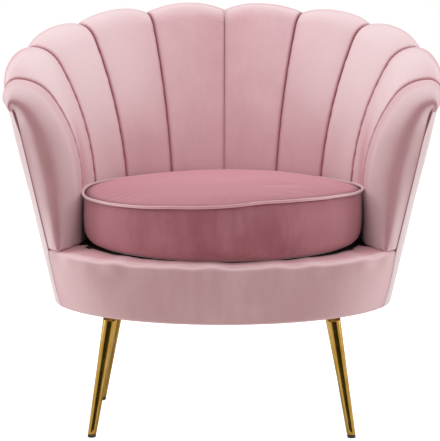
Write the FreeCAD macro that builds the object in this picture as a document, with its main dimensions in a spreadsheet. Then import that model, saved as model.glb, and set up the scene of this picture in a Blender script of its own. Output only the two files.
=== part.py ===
import FreeCAD, Part
import Sketcher
import math
import os

# Scallop back tub chair: a round seat base, a flared barrel of upholstered channels whose rolled
# tops make the scalloped edge, two bullnosed arm fronts, a loose seat cushion and four splayed legs.
# Right means +X, the front faces -Y. Angles round the barrel are counted from the back centre seam.

doc = FreeCAD.newDocument("ScallopChair")
sheet = doc.addObject("Spreadsheet::Sheet", "Sizes")

# Driving dimensions: millimetres, degrees, or a plain ratio where the note says so.
dimensions = [
    ("leg_height", 218.0, "floor to the underside of the base"),
    ("deck_height", 325.0, "floor to the top of the seat deck and of the front border"),
    ("base_radius", 311.5, "outside of the upholstered base at its bottom edge, sides and back"),
    ("base_front_radius", 300.0, "outside of the border at its bottom edge, front centre"),
    ("side_flare", 0.225, "ratio: outward lean of the outside covers"),
    ("front_flare", 0.06, "ratio: outward lean of the border at the front centre"),
    ("border_bulge", 3.0, "swell of the border's face"),
    ("border_roll", 24.0, "radius of the border's rounded top edge"),
    ("seam_setback", 100.0, "side seams lie this far in front of the barrel's centre"),
    ("channel_angle", 22.0, "width of one back channel"),
    ("seat_line", 430.0, "height where the back channels start to lean out"),
    ("seat_radius_back", 270.0, "inside of the barrel at the seat, back centre seam"),
    ("seat_radius_arm", 262.0, "inside of the barrel at the seat, arm seam"),
    ("back_height", 734.5, "top of the back centre seam"),
    ("arm_drop", 106.5, "arm seam's top below the back centre seam's top"),
    ("top_radius_back", 418.0, "barrel radius at the top of the back centre seam"),
    ("top_radius_arm", 372.0, "barrel radius at the top of the arm seam"),
    ("drop_power", 1.3, "ratio: how late the top line falls towards the arms"),
    ("lean_back", 10.0, "lean of the back at the seat line"),
    ("lean_switch", 31.0, "lean where the face turns into the rolled top, on a face of the usual slope"),
    ("face_slope", 26.0, "usual slope of a face from its seat line to its top"),
    ("roll_end", 208.0, "turn of the rolled top from upright to where it runs under"),
    ("roll_radius_back", 19.0, "radius of the rolled top at the back"),
    ("roll_radius_arm", 30.0, "radius of the rolled top at the arms"),
    ("top_swell", 18.0, "rise of each scallop above its seams"),
    ("roll_swell", 6.0, "outward swell of each scallop's roll"),
    ("seat_swell", 1.5, "inward swell of a channel at the seat line"),
    ("lean_swell", 1.5, "how much less a channel's middle leans than its seams"),
    ("cover_thickness", 6.0, "padded outside cover"),
    ("rib_depth", 20.0, "depth of the back's plywood ribs"),
    ("liner_thickness", 2.4, "fibreboard behind the channels"),
    ("board_thickness", 18.0, "plywood of the rings, ribs and arm posts"),
    ("rail_depth", 24.0, "height of the bent top rail"),
    ("ring_outer_radius", 285.0, "outside of the base and deck rings"),
    ("ring_inner_radius", 205.0, "inside of the base and deck rings"),
    ("apron_thickness", 3.7, "bent plywood behind the front border"),
    ("deck_ring_drop", 13.0, "deck ring's top below the deck"),
    ("strap_width", 50.0, "seat webbing"),
    ("strap_thickness", 0.8, "seat webbing"),
    ("strap_pitch", 84.0, "centre to centre of the seat webbing"),
    ("strap_count", 5, "straps in each layer"),
    ("strap_inset", 2.0, "strap ends from the deck pad's edge"),
    ("deck_margin", 5.0, "deck pad's edge from the arm channels"),
    ("dust_cover_thickness", 1.2, "cloth under the base"),
    ("arm_bullnose", 28.0, "arm fronts stand this far in front of the side seams"),
    ("arm_pad_thickness", 30.0, "arm front pad beside and before the arm post"),
    ("arm_post_front", 60.0, "front face of the arm post before the barrel's centre"),
    ("arm_post_top", 500.0, "height of the arm posts"),
    ("leg_top_radius", 13.0, "tapered leg where it meets its plate"),
    ("leg_tip_radius", 7.2, "tapered leg where it enters the glide"),
    ("leg_wall", 1.5, "steel wall of the leg"),
    ("leg_foot_x", 234.5, "foot from the chair's middle plane"),
    ("leg_top_x", 200.5, "leg's top from the chair's middle plane"),
    ("leg_front_foot", 229.0, "front foot before the barrel's centre"),
    ("leg_front_top", 188.0, "front leg's top before the barrel's centre"),
    ("leg_back_foot", 134.0, "back foot behind the barrel's centre"),
    ("leg_back_top", 114.0, "back leg's top behind the barrel's centre"),
    ("plate_width", 54.0, "leg plate across"),
    ("plate_length", 50.0, "leg plate, inwards"),
    ("plate_thickness", 3.0, "leg plate"),
    ("plate_corner", 8.0, "leg plate's corner radius"),
    ("screw_hole_radius", 2.6, "leg plate's screw holes"),
    ("screw_inset", 8.0, "screw holes from the leg plate's edges"),
    ("glide_height", 6.0, "plastic glide below the leg"),
    ("glide_lip", 1.0, "glide wider than the leg's tip"),
    ("glide_plug", 12.0, "glide's plug inside the leg"),
    ("cushion_radius", 258.5, "loose cushion, round back half"),
    ("cushion_front", 289.0, "loose cushion's front before the barrel's centre"),
    ("cushion_nose_radius", 230.0, "plan radius of the cushion's front"),
    ("cushion_edge", 99.0, "height of the cushion's top piping above its bottom"),
    ("cushion_crown", 21.0, "rise of the cushion's top above its piping"),
    ("cushion_waist", 9.0, "how far the sides draw in to the piping"),
    ("piping_radius", 4.0, "cushion piping"),
    ("cover_cloth", 2.6, "cushion cover with its wrap"),
    ("clearance", 0.3, "gap kept between pieces that are pressed together"),
]
for row, (alias, value, note) in enumerate(dimensions, 1):
    sheet.set(f"A{row}", note)
    sheet.set(f"B{row}", str(value))
    sheet.setAlias(f"B{row}", alias)
doc.recompute()

subparts = []


def size(alias):
    """A driving dimension's number."""
    return float(sheet.get(alias))


def blend(first, last, share):
    return first + (last - first) * share


gap = size("clearance")
base_bottom = size("leg_height") + size("dust_cover_thickness") + gap
ring_top = base_bottom + size("board_thickness")
deck_ring_top = size("deck_height") - size("deck_ring_drop")
deck_ring_bottom = deck_ring_top - size("board_thickness")
webbing_top = deck_ring_top + 2 * size("strap_thickness")
pad_bottom = webbing_top + gap
arm_angle = 4 * size("channel_angle")
deck_radius = size("seat_radius_arm") - size("seat_swell") - size("deck_margin")
cushion_bottom = size("deck_height") + gap

# The barrel's centre lies so that the chair's box is centred on the origin.
back_reach = size("top_radius_back") + size("roll_radius_back")
front_reach = size("base_front_radius") + size("border_bulge")
barrel_y = (front_reach - back_reach) / 2
barrel_place = FreeCAD.Placement(FreeCAD.Vector(0, barrel_y, 0), FreeCAD.Rotation())


def keep(piece, label):
    """Names a finished sub-part and sets it in the chair's frame."""
    piece.Label = label
    piece.Placement = barrel_place.multiply(piece.Placement)
    subparts.append(piece)
    return piece


def keep_shape(shape, label):
    """A sub-part whose form neither a body nor a primitive makes."""
    piece = doc.addObject("Part::Feature", label)
    piece.Shape = shape
    return keep(piece, label)


def cone_radius(height):
    """Outside of the flared side at a height, before its swell."""
    return size("base_radius") + size("side_flare") * (height - size("leg_height"))


def liner_radius(height):
    """Back of the channel pads: the flared side less cover, ribs and liner."""
    depth = size("cover_thickness") + size("rib_depth") + size("liner_thickness") + 3 * gap
    return cone_radius(height) - depth


def radial(angle, sideways=0.0):
    """Maps (radius, height) into the upright plane at an angle round the barrel."""
    turn = math.radians(angle)

    def place(radius, height):
        x = radius * math.sin(turn) + sideways * math.cos(turn)
        y = radius * math.cos(turn) - sideways * math.sin(turn)
        return FreeCAD.Vector(x, y, height)
    return place


def seam_plane(radius, height):
    """Maps (radius, height) into the upright plane of the side seam."""
    setback = size("seam_setback")
    return FreeCAD.Vector(math.sqrt(radius ** 2 - setback ** 2), -setback, height)


def loft(wires):
    """A smooth solid through closed wires."""
    return Part.makeLoft(wires, True, False, False, 3)


def strips(wires):
    """A solid of straight strips from each closed wire to the next."""
    return Part.makeLoft(wires, True, True)


def outline(place, start, steps):
    """A closed wire: each step is (end,) for a line or (middle, end) for an arc."""
    edges = []
    here = place(*start)
    for step in steps:
        there = place(*step[-1])
        if len(step) == 1:
            edges.append(Part.LineSegment(here, there).toShape())
        else:
            edges.append(Part.Arc(here, place(*step[0]), there).toShape())
        here = there
    edges.append(Part.LineSegment(here, place(*start)).toShape())
    return Part.Wire(edges)


def sweep_share(angle):
    """0 at the back centre seam and 1 at the arm seam, slow at first."""
    reach = (1 - math.cos(math.radians(min(abs(angle), arm_angle))))
    return (reach / (1 - math.cos(math.radians(arm_angle)))) ** size("drop_power")


def turned(start, radius, lean_from, lean_to):
    """Follows an arc whose lean grows from one angle to another; returns its end."""
    a, b = math.radians(lean_from), math.radians(lean_to)
    return (start[0] + radius * (math.cos(a) - math.cos(b)), start[1] + radius * (math.sin(b) - math.sin(a)))


def arc_step(start, radius, lean_from, lean_to):
    middle = turned(start, radius, lean_from, (lean_from + lean_to) / 2)
    return middle, turned(start, radius, lean_from, lean_to)


class Channel:
    """The barrel's section at an angle: face, rolled top and underside, as (radius, height)."""

    def __init__(self, angle, swell=0.0):
        share = sweep_share(angle)
        self.lean = blend(size("lean_back"), 0.0, share) - size("lean_swell") * swell
        self.roll = blend(size("roll_radius_back"), size("roll_radius_arm"), share) + size("roll_swell") * swell
        radius = blend(size("seat_radius_back"), size("seat_radius_arm"), share) - size("seat_swell") * swell
        top_radius = blend(size("top_radius_back"), size("top_radius_arm"), share)
        top_height = size("back_height") - size("arm_drop") * share + size("top_swell") * swell
        self.seat = (radius, size("seat_line"))
        self.top = (top_radius, top_height)
        slope = math.degrees(math.atan2(top_radius - radius, top_height - size("seat_line")))
        self.switch = size("lean_switch") * slope / size("face_slope")
        self.lower_radius, self.upper_radius = self.face_radii()

    def face_radii(self):
        """Radii of the two tangent arcs that lead from the seat line to the level top."""
        a, b = math.radians(self.lean), math.radians(self.switch)
        across = self.top[0] - self.seat[0]
        rise = self.top[1] - self.seat[1]
        lower_across, lower_rise = math.cos(a) - math.cos(b), math.sin(b) - math.sin(a)
        upper_across, upper_rise = math.cos(b), 1 - math.sin(b)
        area = lower_across * upper_rise - upper_across * lower_rise
        lower = (across * upper_rise - upper_across * rise) / area
        upper = (lower_across * rise - lower_rise * across) / area
        return lower, upper

    def point(self, lean):
        """Point of the face or roll where the surface has turned to a lean."""
        bend = turned(self.seat, self.lower_radius, self.lean, self.switch)
        if lean <= self.switch:
            return turned(self.seat, self.lower_radius, self.lean, lean)
        if lean <= 90:
            return turned(bend, self.upper_radius, self.switch, lean)
        return turned(self.top, self.roll, 90, lean)

    def face_steps(self):
        bend = turned(self.seat, self.lower_radius, self.lean, self.switch)
        return [
            (self.seat,),
            arc_step(self.seat, self.lower_radius, self.lean, self.switch),
            arc_step(bend, self.upper_radius, self.switch, 90),
            arc_step(self.top, self.roll, 90, size("roll_end")),
        ]


def roll_foot(angle):
    """Where the rolled top's underside meets the flared side, as (radius, height)."""
    seam = Channel(angle)
    end = seam.point(size("roll_end"))
    run = math.tan(math.radians(size("roll_end") - 180))
    flare = size("side_flare")
    offset = size("base_radius") - flare * size("leg_height")
    height = (offset - end[0] + end[1] * run) / (run - flare)
    return cone_radius(height), height


def pad_wire(angle, swell, sideways):
    """Section of a channel pad in an upright plane through the barrel's centre."""
    section = Channel(angle, swell)
    foot = roll_foot(angle)
    start = (section.seat[0], pad_bottom)
    steps = section.face_steps()
    steps += [(foot,), ((liner_radius(foot[1]), foot[1]),), ((liner_radius(pad_bottom), pad_bottom),)]
    return outline(radial(angle, sideways), start, steps)


pad_strips = 6


def channel_pad(number):
    """Pad number 1 starts at the back centre seam, number 4 ends at the arm seam."""
    wires = []
    for step in range(pad_strips + 1):
        share = step / pad_strips
        swell = 4 * share * (1 - share)
        sideways = blend(gap / 2, -gap / 2, share)
        wires.append(pad_wire((number - 1 + share) * size("channel_angle"), swell, sideways))
    return strips(wires)


def mirrored(shape):
    return shape.mirror(FreeCAD.Vector(0, 0, 0), FreeCAD.Vector(1, 0, 0))


def keep_pair(shape, label):
    """Keeps a right-hand shape and its mirror image."""
    keep_shape(shape, f"{label}_right")
    keep_shape(mirrored(shape), f"{label}_left")


for number in range(1, 5):
    keep_pair(channel_pad(number), f"channel_pad_{number}")


# Arm fronts: sections in planes that hold the front-back direction and fan over the rolled top.
# The fan's outer end climbs the side seam as the lean grows, and is nearly at its top after two delays.
fan_delay = 25.0


def arm_stations():
    """Pairs of inner seam point and outer seam point, as (x, height), from the border to the roll."""
    seam = Channel(arm_angle)
    foot = roll_foot(arm_angle)
    bottom = size("deck_height") + gap
    fan = []
    for rise in (0.0, 0.3, 0.6):
        height = blend(bottom, size("seat_line"), rise)
        fan.append(((seam.seat[0], height), height))
    for lean in (0, 10, 20, seam.switch, 50, 70, 90, 112, 134, 156, 178):
        share = 1 - math.exp(-lean / fan_delay)
        fan.append((seam.point(lean), blend(size("seat_line"), foot[1], share)))
    stations = []
    for inner, outer_height in fan:
        outer = seam_plane(cone_radius(outer_height), outer_height)
        stations.append((inner, (outer.x, outer_height)))
    return stations


def arm_frame(inner, outer):
    """Maps (distance from the inner seam, y) into a station's plane."""
    width = math.hypot(outer[0] - inner[0], outer[1] - inner[1])
    across = (outer[0] - inner[0]) / width
    rise = (outer[1] - inner[1]) / width

    def place(distance, y):
        return FreeCAD.Vector(inner[0] + across * distance, y, inner[1] + rise * distance)
    return place, width


def arm_pad_depth(width):
    return min(size("arm_pad_thickness"), 0.45 * width)


def cover_run(inner, outer, width):
    """How far a station runs inside the outside cover: the cover's thickness over the station's slope to it."""
    flare = size("side_flare")
    facing = (outer[0] - inner[0] - flare * (outer[1] - inner[1])) / (width * math.hypot(1, flare))
    return min((size("cover_thickness") + 3 * gap) / max(facing, 0.25), 0.5 * width)


def arm_wire(station, inner, outer, count):
    """Bullnose section: inner seam, round the front, outer seam, then back along the arm post."""
    place, width = arm_frame(inner, outer)
    setback = size("seam_setback")
    rise = station / (count - 1)
    nose = size("arm_bullnose") * (1 - 0.45 * rise ** 2)
    tuck = (0.10 + 0.22 * max(0.0, 1 - station / 3) ** 1.5) * width
    seam_y = inner[0] * math.cos(math.radians(arm_angle)) - gap
    depth = arm_pad_depth(width)
    skin = cover_run(inner, outer, width)
    shoulder = (tuck, -setback + 8.0)
    front = (blend(tuck, width, 0.45), -setback - nose)
    steps = [
        ((0.25 * tuck, blend(seam_y, shoulder[1], 0.55)), shoulder),
        (front, (width, -setback - gap)),
        ((width - skin, -setback - gap),),
        ((width - skin, -size("arm_post_front")),),
        ((depth, -size("arm_post_front")),),
        ((depth, seam_y),),
    ]
    return outline(place, (0.0, seam_y), steps)


stations = arm_stations()
arm_wires = [arm_wire(i, inner, outer, len(stations)) for i, (inner, outer) in enumerate(stations)]
keep_pair(strips(arm_wires), "arm_front_pad")


# Outside covers and liner: flared shells cut along the rolled top's foot.
def under_roll(shape, drop):
    """The part of a shape below the rolled top's foot line, seen from the side."""
    line = []
    for step in range(7):
        radius, height = roll_foot(arm_angle * step / 6)
        line.append(FreeCAD.Vector(-span, radius * math.cos(math.radians(arm_angle * step / 6)), height - drop))
    back, front = line[0], line[-1]
    curve = Part.BSplineCurve()
    curve.interpolate(line)
    corners = [front, FreeCAD.Vector(-span, -span, front.z), FreeCAD.Vector(-span, -span, 0),
               FreeCAD.Vector(-span, span, 0), FreeCAD.Vector(-span, span, back.z), back]
    sides = [Part.LineSegment(corners[i], corners[i + 1]).toShape() for i in range(len(corners) - 1)]
    side_face = Part.Face(Part.Wire([curve.toShape()] + sides))
    return shape.common(side_face.extrude(FreeCAD.Vector(2 * span, 0, 0)))


def flared_shell(outer, thickness, low, high, first, last):
    """A shell on a flared cone between two angles round the barrel; outer gives its radius at a height."""
    base = FreeCAD.Vector(0, 0, low)
    up = FreeCAD.Vector(0, 0, 1)
    solid = Part.makeCone(outer(low), outer(high), high - low, base, up, last - first)
    core = Part.makeCone(outer(low) - thickness, outer(high) - thickness, high - low, base, up, 360)
    shell = solid.cut(core)
    shell.rotate(FreeCAD.Vector(0, 0, 0), up, 90 - last)
    return shell


span = 2 * size("base_radius")
shell_top = size("back_height")
cover_split = 3 * size("channel_angle")

arm_cover = flared_shell(cone_radius, size("cover_thickness"), base_bottom, shell_top, cover_split, 130)
ahead_of_seam = Part.makeBox(2 * span, span, 2 * span, FreeCAD.Vector(-span, -span - size("seam_setback"), 0))
arm_cover = under_roll(arm_cover, gap).cut(ahead_of_seam)
keep_pair(arm_cover, "outside_arm_cover")
back_cover = flared_shell(cone_radius, size("cover_thickness"), base_bottom, shell_top, -cover_split, cover_split)
keep_shape(under_roll(back_cover, gap), "outside_back_cover")


def liner_back(height):
    return liner_radius(height) + gap + size("liner_thickness")


liner = flared_shell(liner_back, size("liner_thickness"), pad_bottom, shell_top, -arm_angle, arm_angle)
keep_shape(under_roll(liner, size("rail_depth") / 8), "back_liner")


# Front border: follows the flared side at the seams and stands nearly upright at the front.
seam_angle = 90 + math.degrees(math.asin(size("seam_setback") / cone_radius(size("deck_height"))))
border_back = size("ring_outer_radius") + size("apron_thickness") + 3 * gap


def border_wire(angle):
    share = abs(math.cos(math.radians(90 * (180 - angle) / (180 - seam_angle))))
    flare = blend(size("side_flare"), size("front_flare"), share)
    low_radius = blend(size("base_radius"), size("base_front_radius"), share)
    low, high = base_bottom, size("deck_height")
    roll = size("border_roll")
    shoulder = (low_radius + flare * (high - roll - low), high - roll)
    bulge = (blend(low_radius, shoulder[0], 0.55) + size("border_bulge"), blend(low, shoulder[1], 0.55))
    brow = (shoulder[0] - roll * (1 - math.sqrt(0.5)), high - roll * (1 - math.sqrt(0.5)))
    steps = [
        (bulge, shoulder),
        (brow, (shoulder[0] - roll, high)),
        ((border_inner, high),),
        ((border_inner, deck_ring_top + gap),),
        ((border_back, deck_ring_top + gap),),
        ((border_back, low),),
    ]
    return outline(radial(angle), (low_radius, low), steps)


border_strips = 24
half_strip = math.radians((180 - seam_angle) / border_strips)
border_inner = (deck_radius + gap) / math.cos(half_strip)


border_angles = [blend(seam_angle, 360 - seam_angle, i / border_strips) for i in range(border_strips + 1)]
beside_covers = Part.makeBox(2 * span, 2 * span, 2 * span, FreeCAD.Vector(-span, -size("seam_setback") - gap, 0))
beside_covers = beside_covers.cut(Part.makeCylinder(border_back, 2 * span))
keep_shape(strips([border_wire(angle) for angle in border_angles]).cut(beside_covers), "front_border")


# Timber frame behind the upholstery.
def expression(piece, **bindings):
    """Binds properties to the sheet."""
    for name, text in bindings.items():
        piece.setExpression(name, text)


def ring_segment(label, start_angle, sweep, bottom, top_name, outer, inner):
    """A flat or tall ring segment between two radii; angles run anticlockwise from +X."""
    disc = doc.addObject("Part::Cylinder", f"{label}_disc")
    disc.Angle = sweep
    expression(disc, Radius=outer, Height=top_name)
    bore = doc.addObject("Part::Cylinder", f"{label}_bore")
    expression(bore, Radius=inner, Height=top_name)
    ring = doc.addObject("Part::Cut", label)
    ring.Base = disc
    ring.Tool = bore
    doc.recompute()
    ring.Placement = FreeCAD.Placement(FreeCAD.Vector(0, 0, bottom),
                                       FreeCAD.Rotation(FreeCAD.Vector(0, 0, 1), start_angle))
    return keep(ring, label)


board = "Sizes.board_thickness"
outer_ring = "Sizes.ring_outer_radius"
inner_ring = "Sizes.ring_inner_radius"
for label, start_angle in (("right", -45), ("back", 45), ("left", 135), ("front", 225)):
    ring_segment(f"base_ring_{label}", start_angle, 90, base_bottom, board, outer_ring, inner_ring)
for label, start_angle in (("right", -90), ("left", 90)):
    ring_segment(f"deck_ring_{label}", start_angle, 180, deck_ring_bottom, board, outer_ring, inner_ring)

apron_height = f"{deck_ring_top - base_bottom}"
apron_start = 90 - (360 - seam_angle)
ring_segment("front_apron", apron_start, 360 - 2 * seam_angle, base_bottom, apron_height,
             "Sizes.ring_outer_radius + Sizes.clearance + Sizes.apron_thickness",
             "Sizes.ring_outer_radius + Sizes.clearance")


def origin_plane(body, role):
    return next(feature for feature in body.Origin.OriginFeatures if feature.Role == role)


def polygon_sketch(body, role, points):
    """A sketch of straight sides on one of the body's own origin planes, each corner dimensioned."""
    sketch = body.newObject("Sketcher::SketchObject", f"{body.Name}_outline")
    sketch.AttachmentSupport = [(origin_plane(body, role), "")]
    sketch.MapMode = "FlatFace"
    count = len(points)
    for i in range(count):
        start = FreeCAD.Vector(points[i][0], points[i][1], 0)
        end = FreeCAD.Vector(points[(i + 1) % count][0], points[(i + 1) % count][1], 0)
        sketch.addGeometry(Part.LineSegment(start, end), False)
    for i in range(count):
        sketch.addConstraint(Sketcher.Constraint("Coincident", i, 2, (i + 1) % count, 1))
    for i in range(count):
        sketch.addConstraint(Sketcher.Constraint("DistanceX", -1, 1, i, 1, points[i][0]))
        sketch.addConstraint(Sketcher.Constraint("DistanceY", -1, 1, i, 1, points[i][1]))
    return sketch


def board_body(label, points):
    """A plywood board: a straight-sided outline in the upright XZ plane, as thick as the boards."""
    body = doc.addObject("PartDesign::Body", label)
    sketch = polygon_sketch(body, "XZ_Plane", points)
    pad = body.newObject("PartDesign::Pad", f"{label}_board")
    pad.Profile = sketch
    pad.Midplane = True
    expression(pad, Length=board)
    doc.recompute()
    return body


# The rail's underside slopes along the barrel, so a rib ends this far below it.
rib_slope_room = 4.0


def rib_points(angle):
    """Rib outline as (radius, height): beside the rings below, behind the liner above."""
    foot = roll_foot(angle)
    top = foot[1] - gap - size("rail_depth") - rib_slope_room
    skin = size("cover_thickness") + 2 * gap
    back = size("liner_thickness") + 2 * gap
    shoulder = pad_bottom - gap
    inner = size("ring_outer_radius") + gap
    return [
        (inner, base_bottom),
        (cone_radius(base_bottom) - skin, base_bottom),
        (cone_radius(top) - skin, top),
        (liner_radius(top) + back, top),
        (liner_radius(shoulder) + back, shoulder),
        (inner, shoulder),
    ]


for channels, label in ((0, "rib_back"), (2, "rib_right_rear"), (4, "rib_right_arm"),
                        (-2, "rib_left_rear"), (-4, "rib_left_arm")):
    angle = channels * size("channel_angle")
    rib = board_body(label, rib_points(angle))
    rib.Placement = FreeCAD.Placement(FreeCAD.Vector(0, 0, 0), FreeCAD.Rotation(FreeCAD.Vector(0, 0, 1), 90 - angle))
    keep(rib, label)


def arm_post_points():
    """Arm post outline as (x, height), behind the arm front pad's inner strip."""
    front = size("arm_post_front")
    skin = size("cover_thickness") + 2 * gap

    def outer_x(height):
        return math.sqrt((cone_radius(height) - skin) ** 2 - front ** 2)

    top = size("arm_post_top")
    inner_edge = []
    for inner, outer in stations:
        place, width = arm_frame(inner, outer)
        corner = place(arm_pad_depth(width) + 3 * gap, 0)
        if corner.z > top:
            last = inner_edge[-1]
            inner_edge.append((blend(last[0], corner.x, (top - last[1]) / (corner.z - last[1])), top))
            break
        inner_edge.append((corner.x, corner.z))
    low_x = math.sqrt((size("ring_outer_radius") + gap) ** 2 - (front - size("board_thickness")) ** 2) + gap
    below = [(low_x, base_bottom), (outer_x(base_bottom), base_bottom), (outer_x(top), top)]
    return below + inner_edge[::-1] + [(low_x, deck_ring_top)]


for side, label in ((1, "arm_post_right"), (-1, "arm_post_left")):
    points = [(side * x, z) for x, z in arm_post_points()]
    post = board_body(label, points)
    middle = -size("arm_post_front") + gap + size("board_thickness") / 2
    post.Placement = FreeCAD.Placement(FreeCAD.Vector(0, middle, 0), FreeCAD.Rotation())
    keep(post, label)


def rail_wire(angle, sideways):
    top = roll_foot(angle)[1] - gap
    low = top - size("rail_depth")
    back = size("liner_thickness") + 2 * gap
    skin = size("cover_thickness") + 2 * gap
    steps = [
        ((cone_radius(low) - skin, low),),
        ((cone_radius(top) - skin, top),),
        ((liner_radius(top) + back, top),),
    ]
    return outline(radial(angle, sideways), (liner_radius(low) + back, low), steps)


def rail_segment(first, last):
    count = 4
    wires = []
    for i in range(count + 1):
        share = i / count
        wires.append(rail_wire(blend(first, last, share), blend(gap / 4, -gap / 4, share)))
    return loft(wires)


keep_shape(rail_segment(-arm_angle / 2, arm_angle / 2), "top_rail_back")
keep_pair(rail_segment(arm_angle / 2, arm_angle), "top_rail")


# Base: blocks between the rings, webbing, deck pad and dust cover.
block_radius = (size("ring_inner_radius") + size("ring_outer_radius")) / 2
for label, turn in (("back_right", 45), ("back_left", 135), ("front_left", 225), ("front_right", 315)):
    block = doc.addObject("Part::Box", f"block_{label}")
    expression(block, Length="Sizes.board_thickness * 2.5", Width="Sizes.board_thickness * 2.5",
               Height=f"{deck_ring_bottom - ring_top}")
    doc.recompute()
    spin = FreeCAD.Rotation(FreeCAD.Vector(0, 0, 1), turn)
    corner = spin.multVec(FreeCAD.Vector(block_radius - float(block.Length) / 2, -float(block.Width) / 2, ring_top))
    block.Placement = FreeCAD.Placement(corner, spin)
    keep(block, f"block_{label}")


def straps(turn, bottom):
    """One layer of seat webbing, tacked on the deck ring."""
    reach = deck_radius - size("strap_inset")
    width = size("strap_width")
    count = int(size("strap_count"))
    pieces = []
    for i in range(count):
        middle = (i - (count - 1) / 2) * size("strap_pitch")
        half = math.sqrt(reach ** 2 - (abs(middle) + width / 2) ** 2)
        corner = FreeCAD.Vector(middle - width / 2, -half, bottom)
        pieces.append(Part.makeBox(width, 2 * half, size("strap_thickness"), corner))
    layer = Part.makeCompound(pieces)
    layer.rotate(FreeCAD.Vector(0, 0, 0), FreeCAD.Vector(0, 0, 1), turn)
    return layer


keep_shape(straps(0, deck_ring_top), "webbing_lengthwise")
keep_shape(straps(90, deck_ring_top + size("strap_thickness")), "webbing_crosswise")


def disc(label, radius, bottom, thickness, back_shift=0.0):
    """A round flat piece, its centre moved back from the barrel's."""
    body = doc.addObject("PartDesign::Body", label)
    sketch = body.newObject("Sketcher::SketchObject", f"{label}_outline")
    sketch.AttachmentSupport = [(origin_plane(body, "XY_Plane"), "")]
    sketch.MapMode = "FlatFace"
    circle = Part.Circle(FreeCAD.Vector(0, 0, 0), FreeCAD.Vector(0, 0, 1), radius)
    sketch.addGeometry(circle, False)
    sketch.addConstraint(Sketcher.Constraint("Coincident", 0, 3, -1, 1))
    sketch.addConstraint(Sketcher.Constraint("Radius", 0, radius))
    pad = body.newObject("PartDesign::Pad", f"{label}_pad")
    pad.Profile = sketch
    pad.Length = thickness
    doc.recompute()
    body.Placement = FreeCAD.Placement(FreeCAD.Vector(0, back_shift, bottom), FreeCAD.Rotation())
    return keep(body, label)


disc("deck_pad", deck_radius, pad_bottom, size("deck_height") - pad_bottom)
base_middle = (size("base_radius") - size("base_front_radius")) / 2
disc("dust_cover", size("base_radius") - base_middle - 2 * gap, size("leg_height"), size("dust_cover_thickness"),
     base_middle)


# Legs: steel plate, tapered tube and plastic glide.
def leg_axis(side, rank):
    """Foot and top of a leg's centre line, at the floor and at the plate's underside."""
    foot_y = size("leg_back_foot") if rank > 0 else -size("leg_front_foot")
    top_y = size("leg_back_top") if rank > 0 else -size("leg_front_top")
    plate_bottom = size("leg_height") - size("plate_thickness")
    foot = FreeCAD.Vector(side * size("leg_foot_x"), foot_y, 0)
    top = FreeCAD.Vector(side * size("leg_top_x"), top_y, plate_bottom)
    return foot, top


overrun = 12.0


def leaning(kind, label, foot, top, **sizes):
    """A round piece along the leg's centre line, starting below the floor."""
    piece = doc.addObject(kind, label)
    expression(piece, **sizes)
    along = (top - foot).normalize()
    piece.Placement = FreeCAD.Placement(foot - along * overrun, FreeCAD.Rotation(FreeCAD.Vector(0, 0, 1), along))
    return piece


def trimmed(label, piece, foot, top, low, high):
    """The part of a leaning piece between two levels."""
    width = 2 * (top - foot).Length
    level = doc.addObject("Part::Box", f"{label}_level")
    level.Length = width
    level.Width = width
    level.Height = high - low
    level.Placement = FreeCAD.Placement(FreeCAD.Vector(foot.x - width / 2, foot.y - width / 2, low),
                                        FreeCAD.Rotation())
    common = doc.addObject("Part::Common", label)
    common.Base = piece
    common.Tool = level
    return common


def joined(kind, label, first, second):
    piece = doc.addObject(kind, label)
    piece.Base = first
    piece.Tool = second
    return piece


def leg(name, side, rank):
    foot, top = leg_axis(side, rank)
    seat = size("glide_height")
    length = (top - foot).Length + 2 * overrun
    tip, wide, wall = "Sizes.leg_tip_radius", "Sizes.leg_top_radius", "Sizes.leg_wall"
    skin = leaning("Part::Cone", f"tube_skin_{name}", foot, top, Radius1=tip, Radius2=wide, Height=f"{length}")
    hollow = leaning("Part::Cone", f"tube_hollow_{name}", foot, top, Radius1=f"{tip} - {wall}",
                     Radius2=f"{wide} - {wall}", Height=f"{length}")
    tube = joined("Part::Cut", f"tube_wall_{name}", skin, hollow)
    tube = trimmed(f"leg_tube_{name}", tube, foot, top, seat, top.z)

    cap = leaning("Part::Cylinder", f"glide_cap_{name}", foot, top, Radius=f"{tip} + Sizes.glide_lip",
                  Height=f"{length}")
    flange = trimmed(f"glide_flange_{name}", cap, foot, top, 0.0, seat)
    core = leaning("Part::Cylinder", f"glide_core_{name}", foot, top, Radius=f"{tip} - {wall} - Sizes.clearance",
                   Height=f"{length}")
    plug = trimmed(f"glide_plug_{name}", core, foot, top, seat / 2, seat + size("glide_plug"))
    glide = joined("Part::Fuse", f"leg_glide_{name}", flange, plug)
    doc.recompute()
    keep(tube, f"leg_tube_{name}")
    keep(glide, f"leg_glide_{name}")
    plate(name, top)


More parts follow.
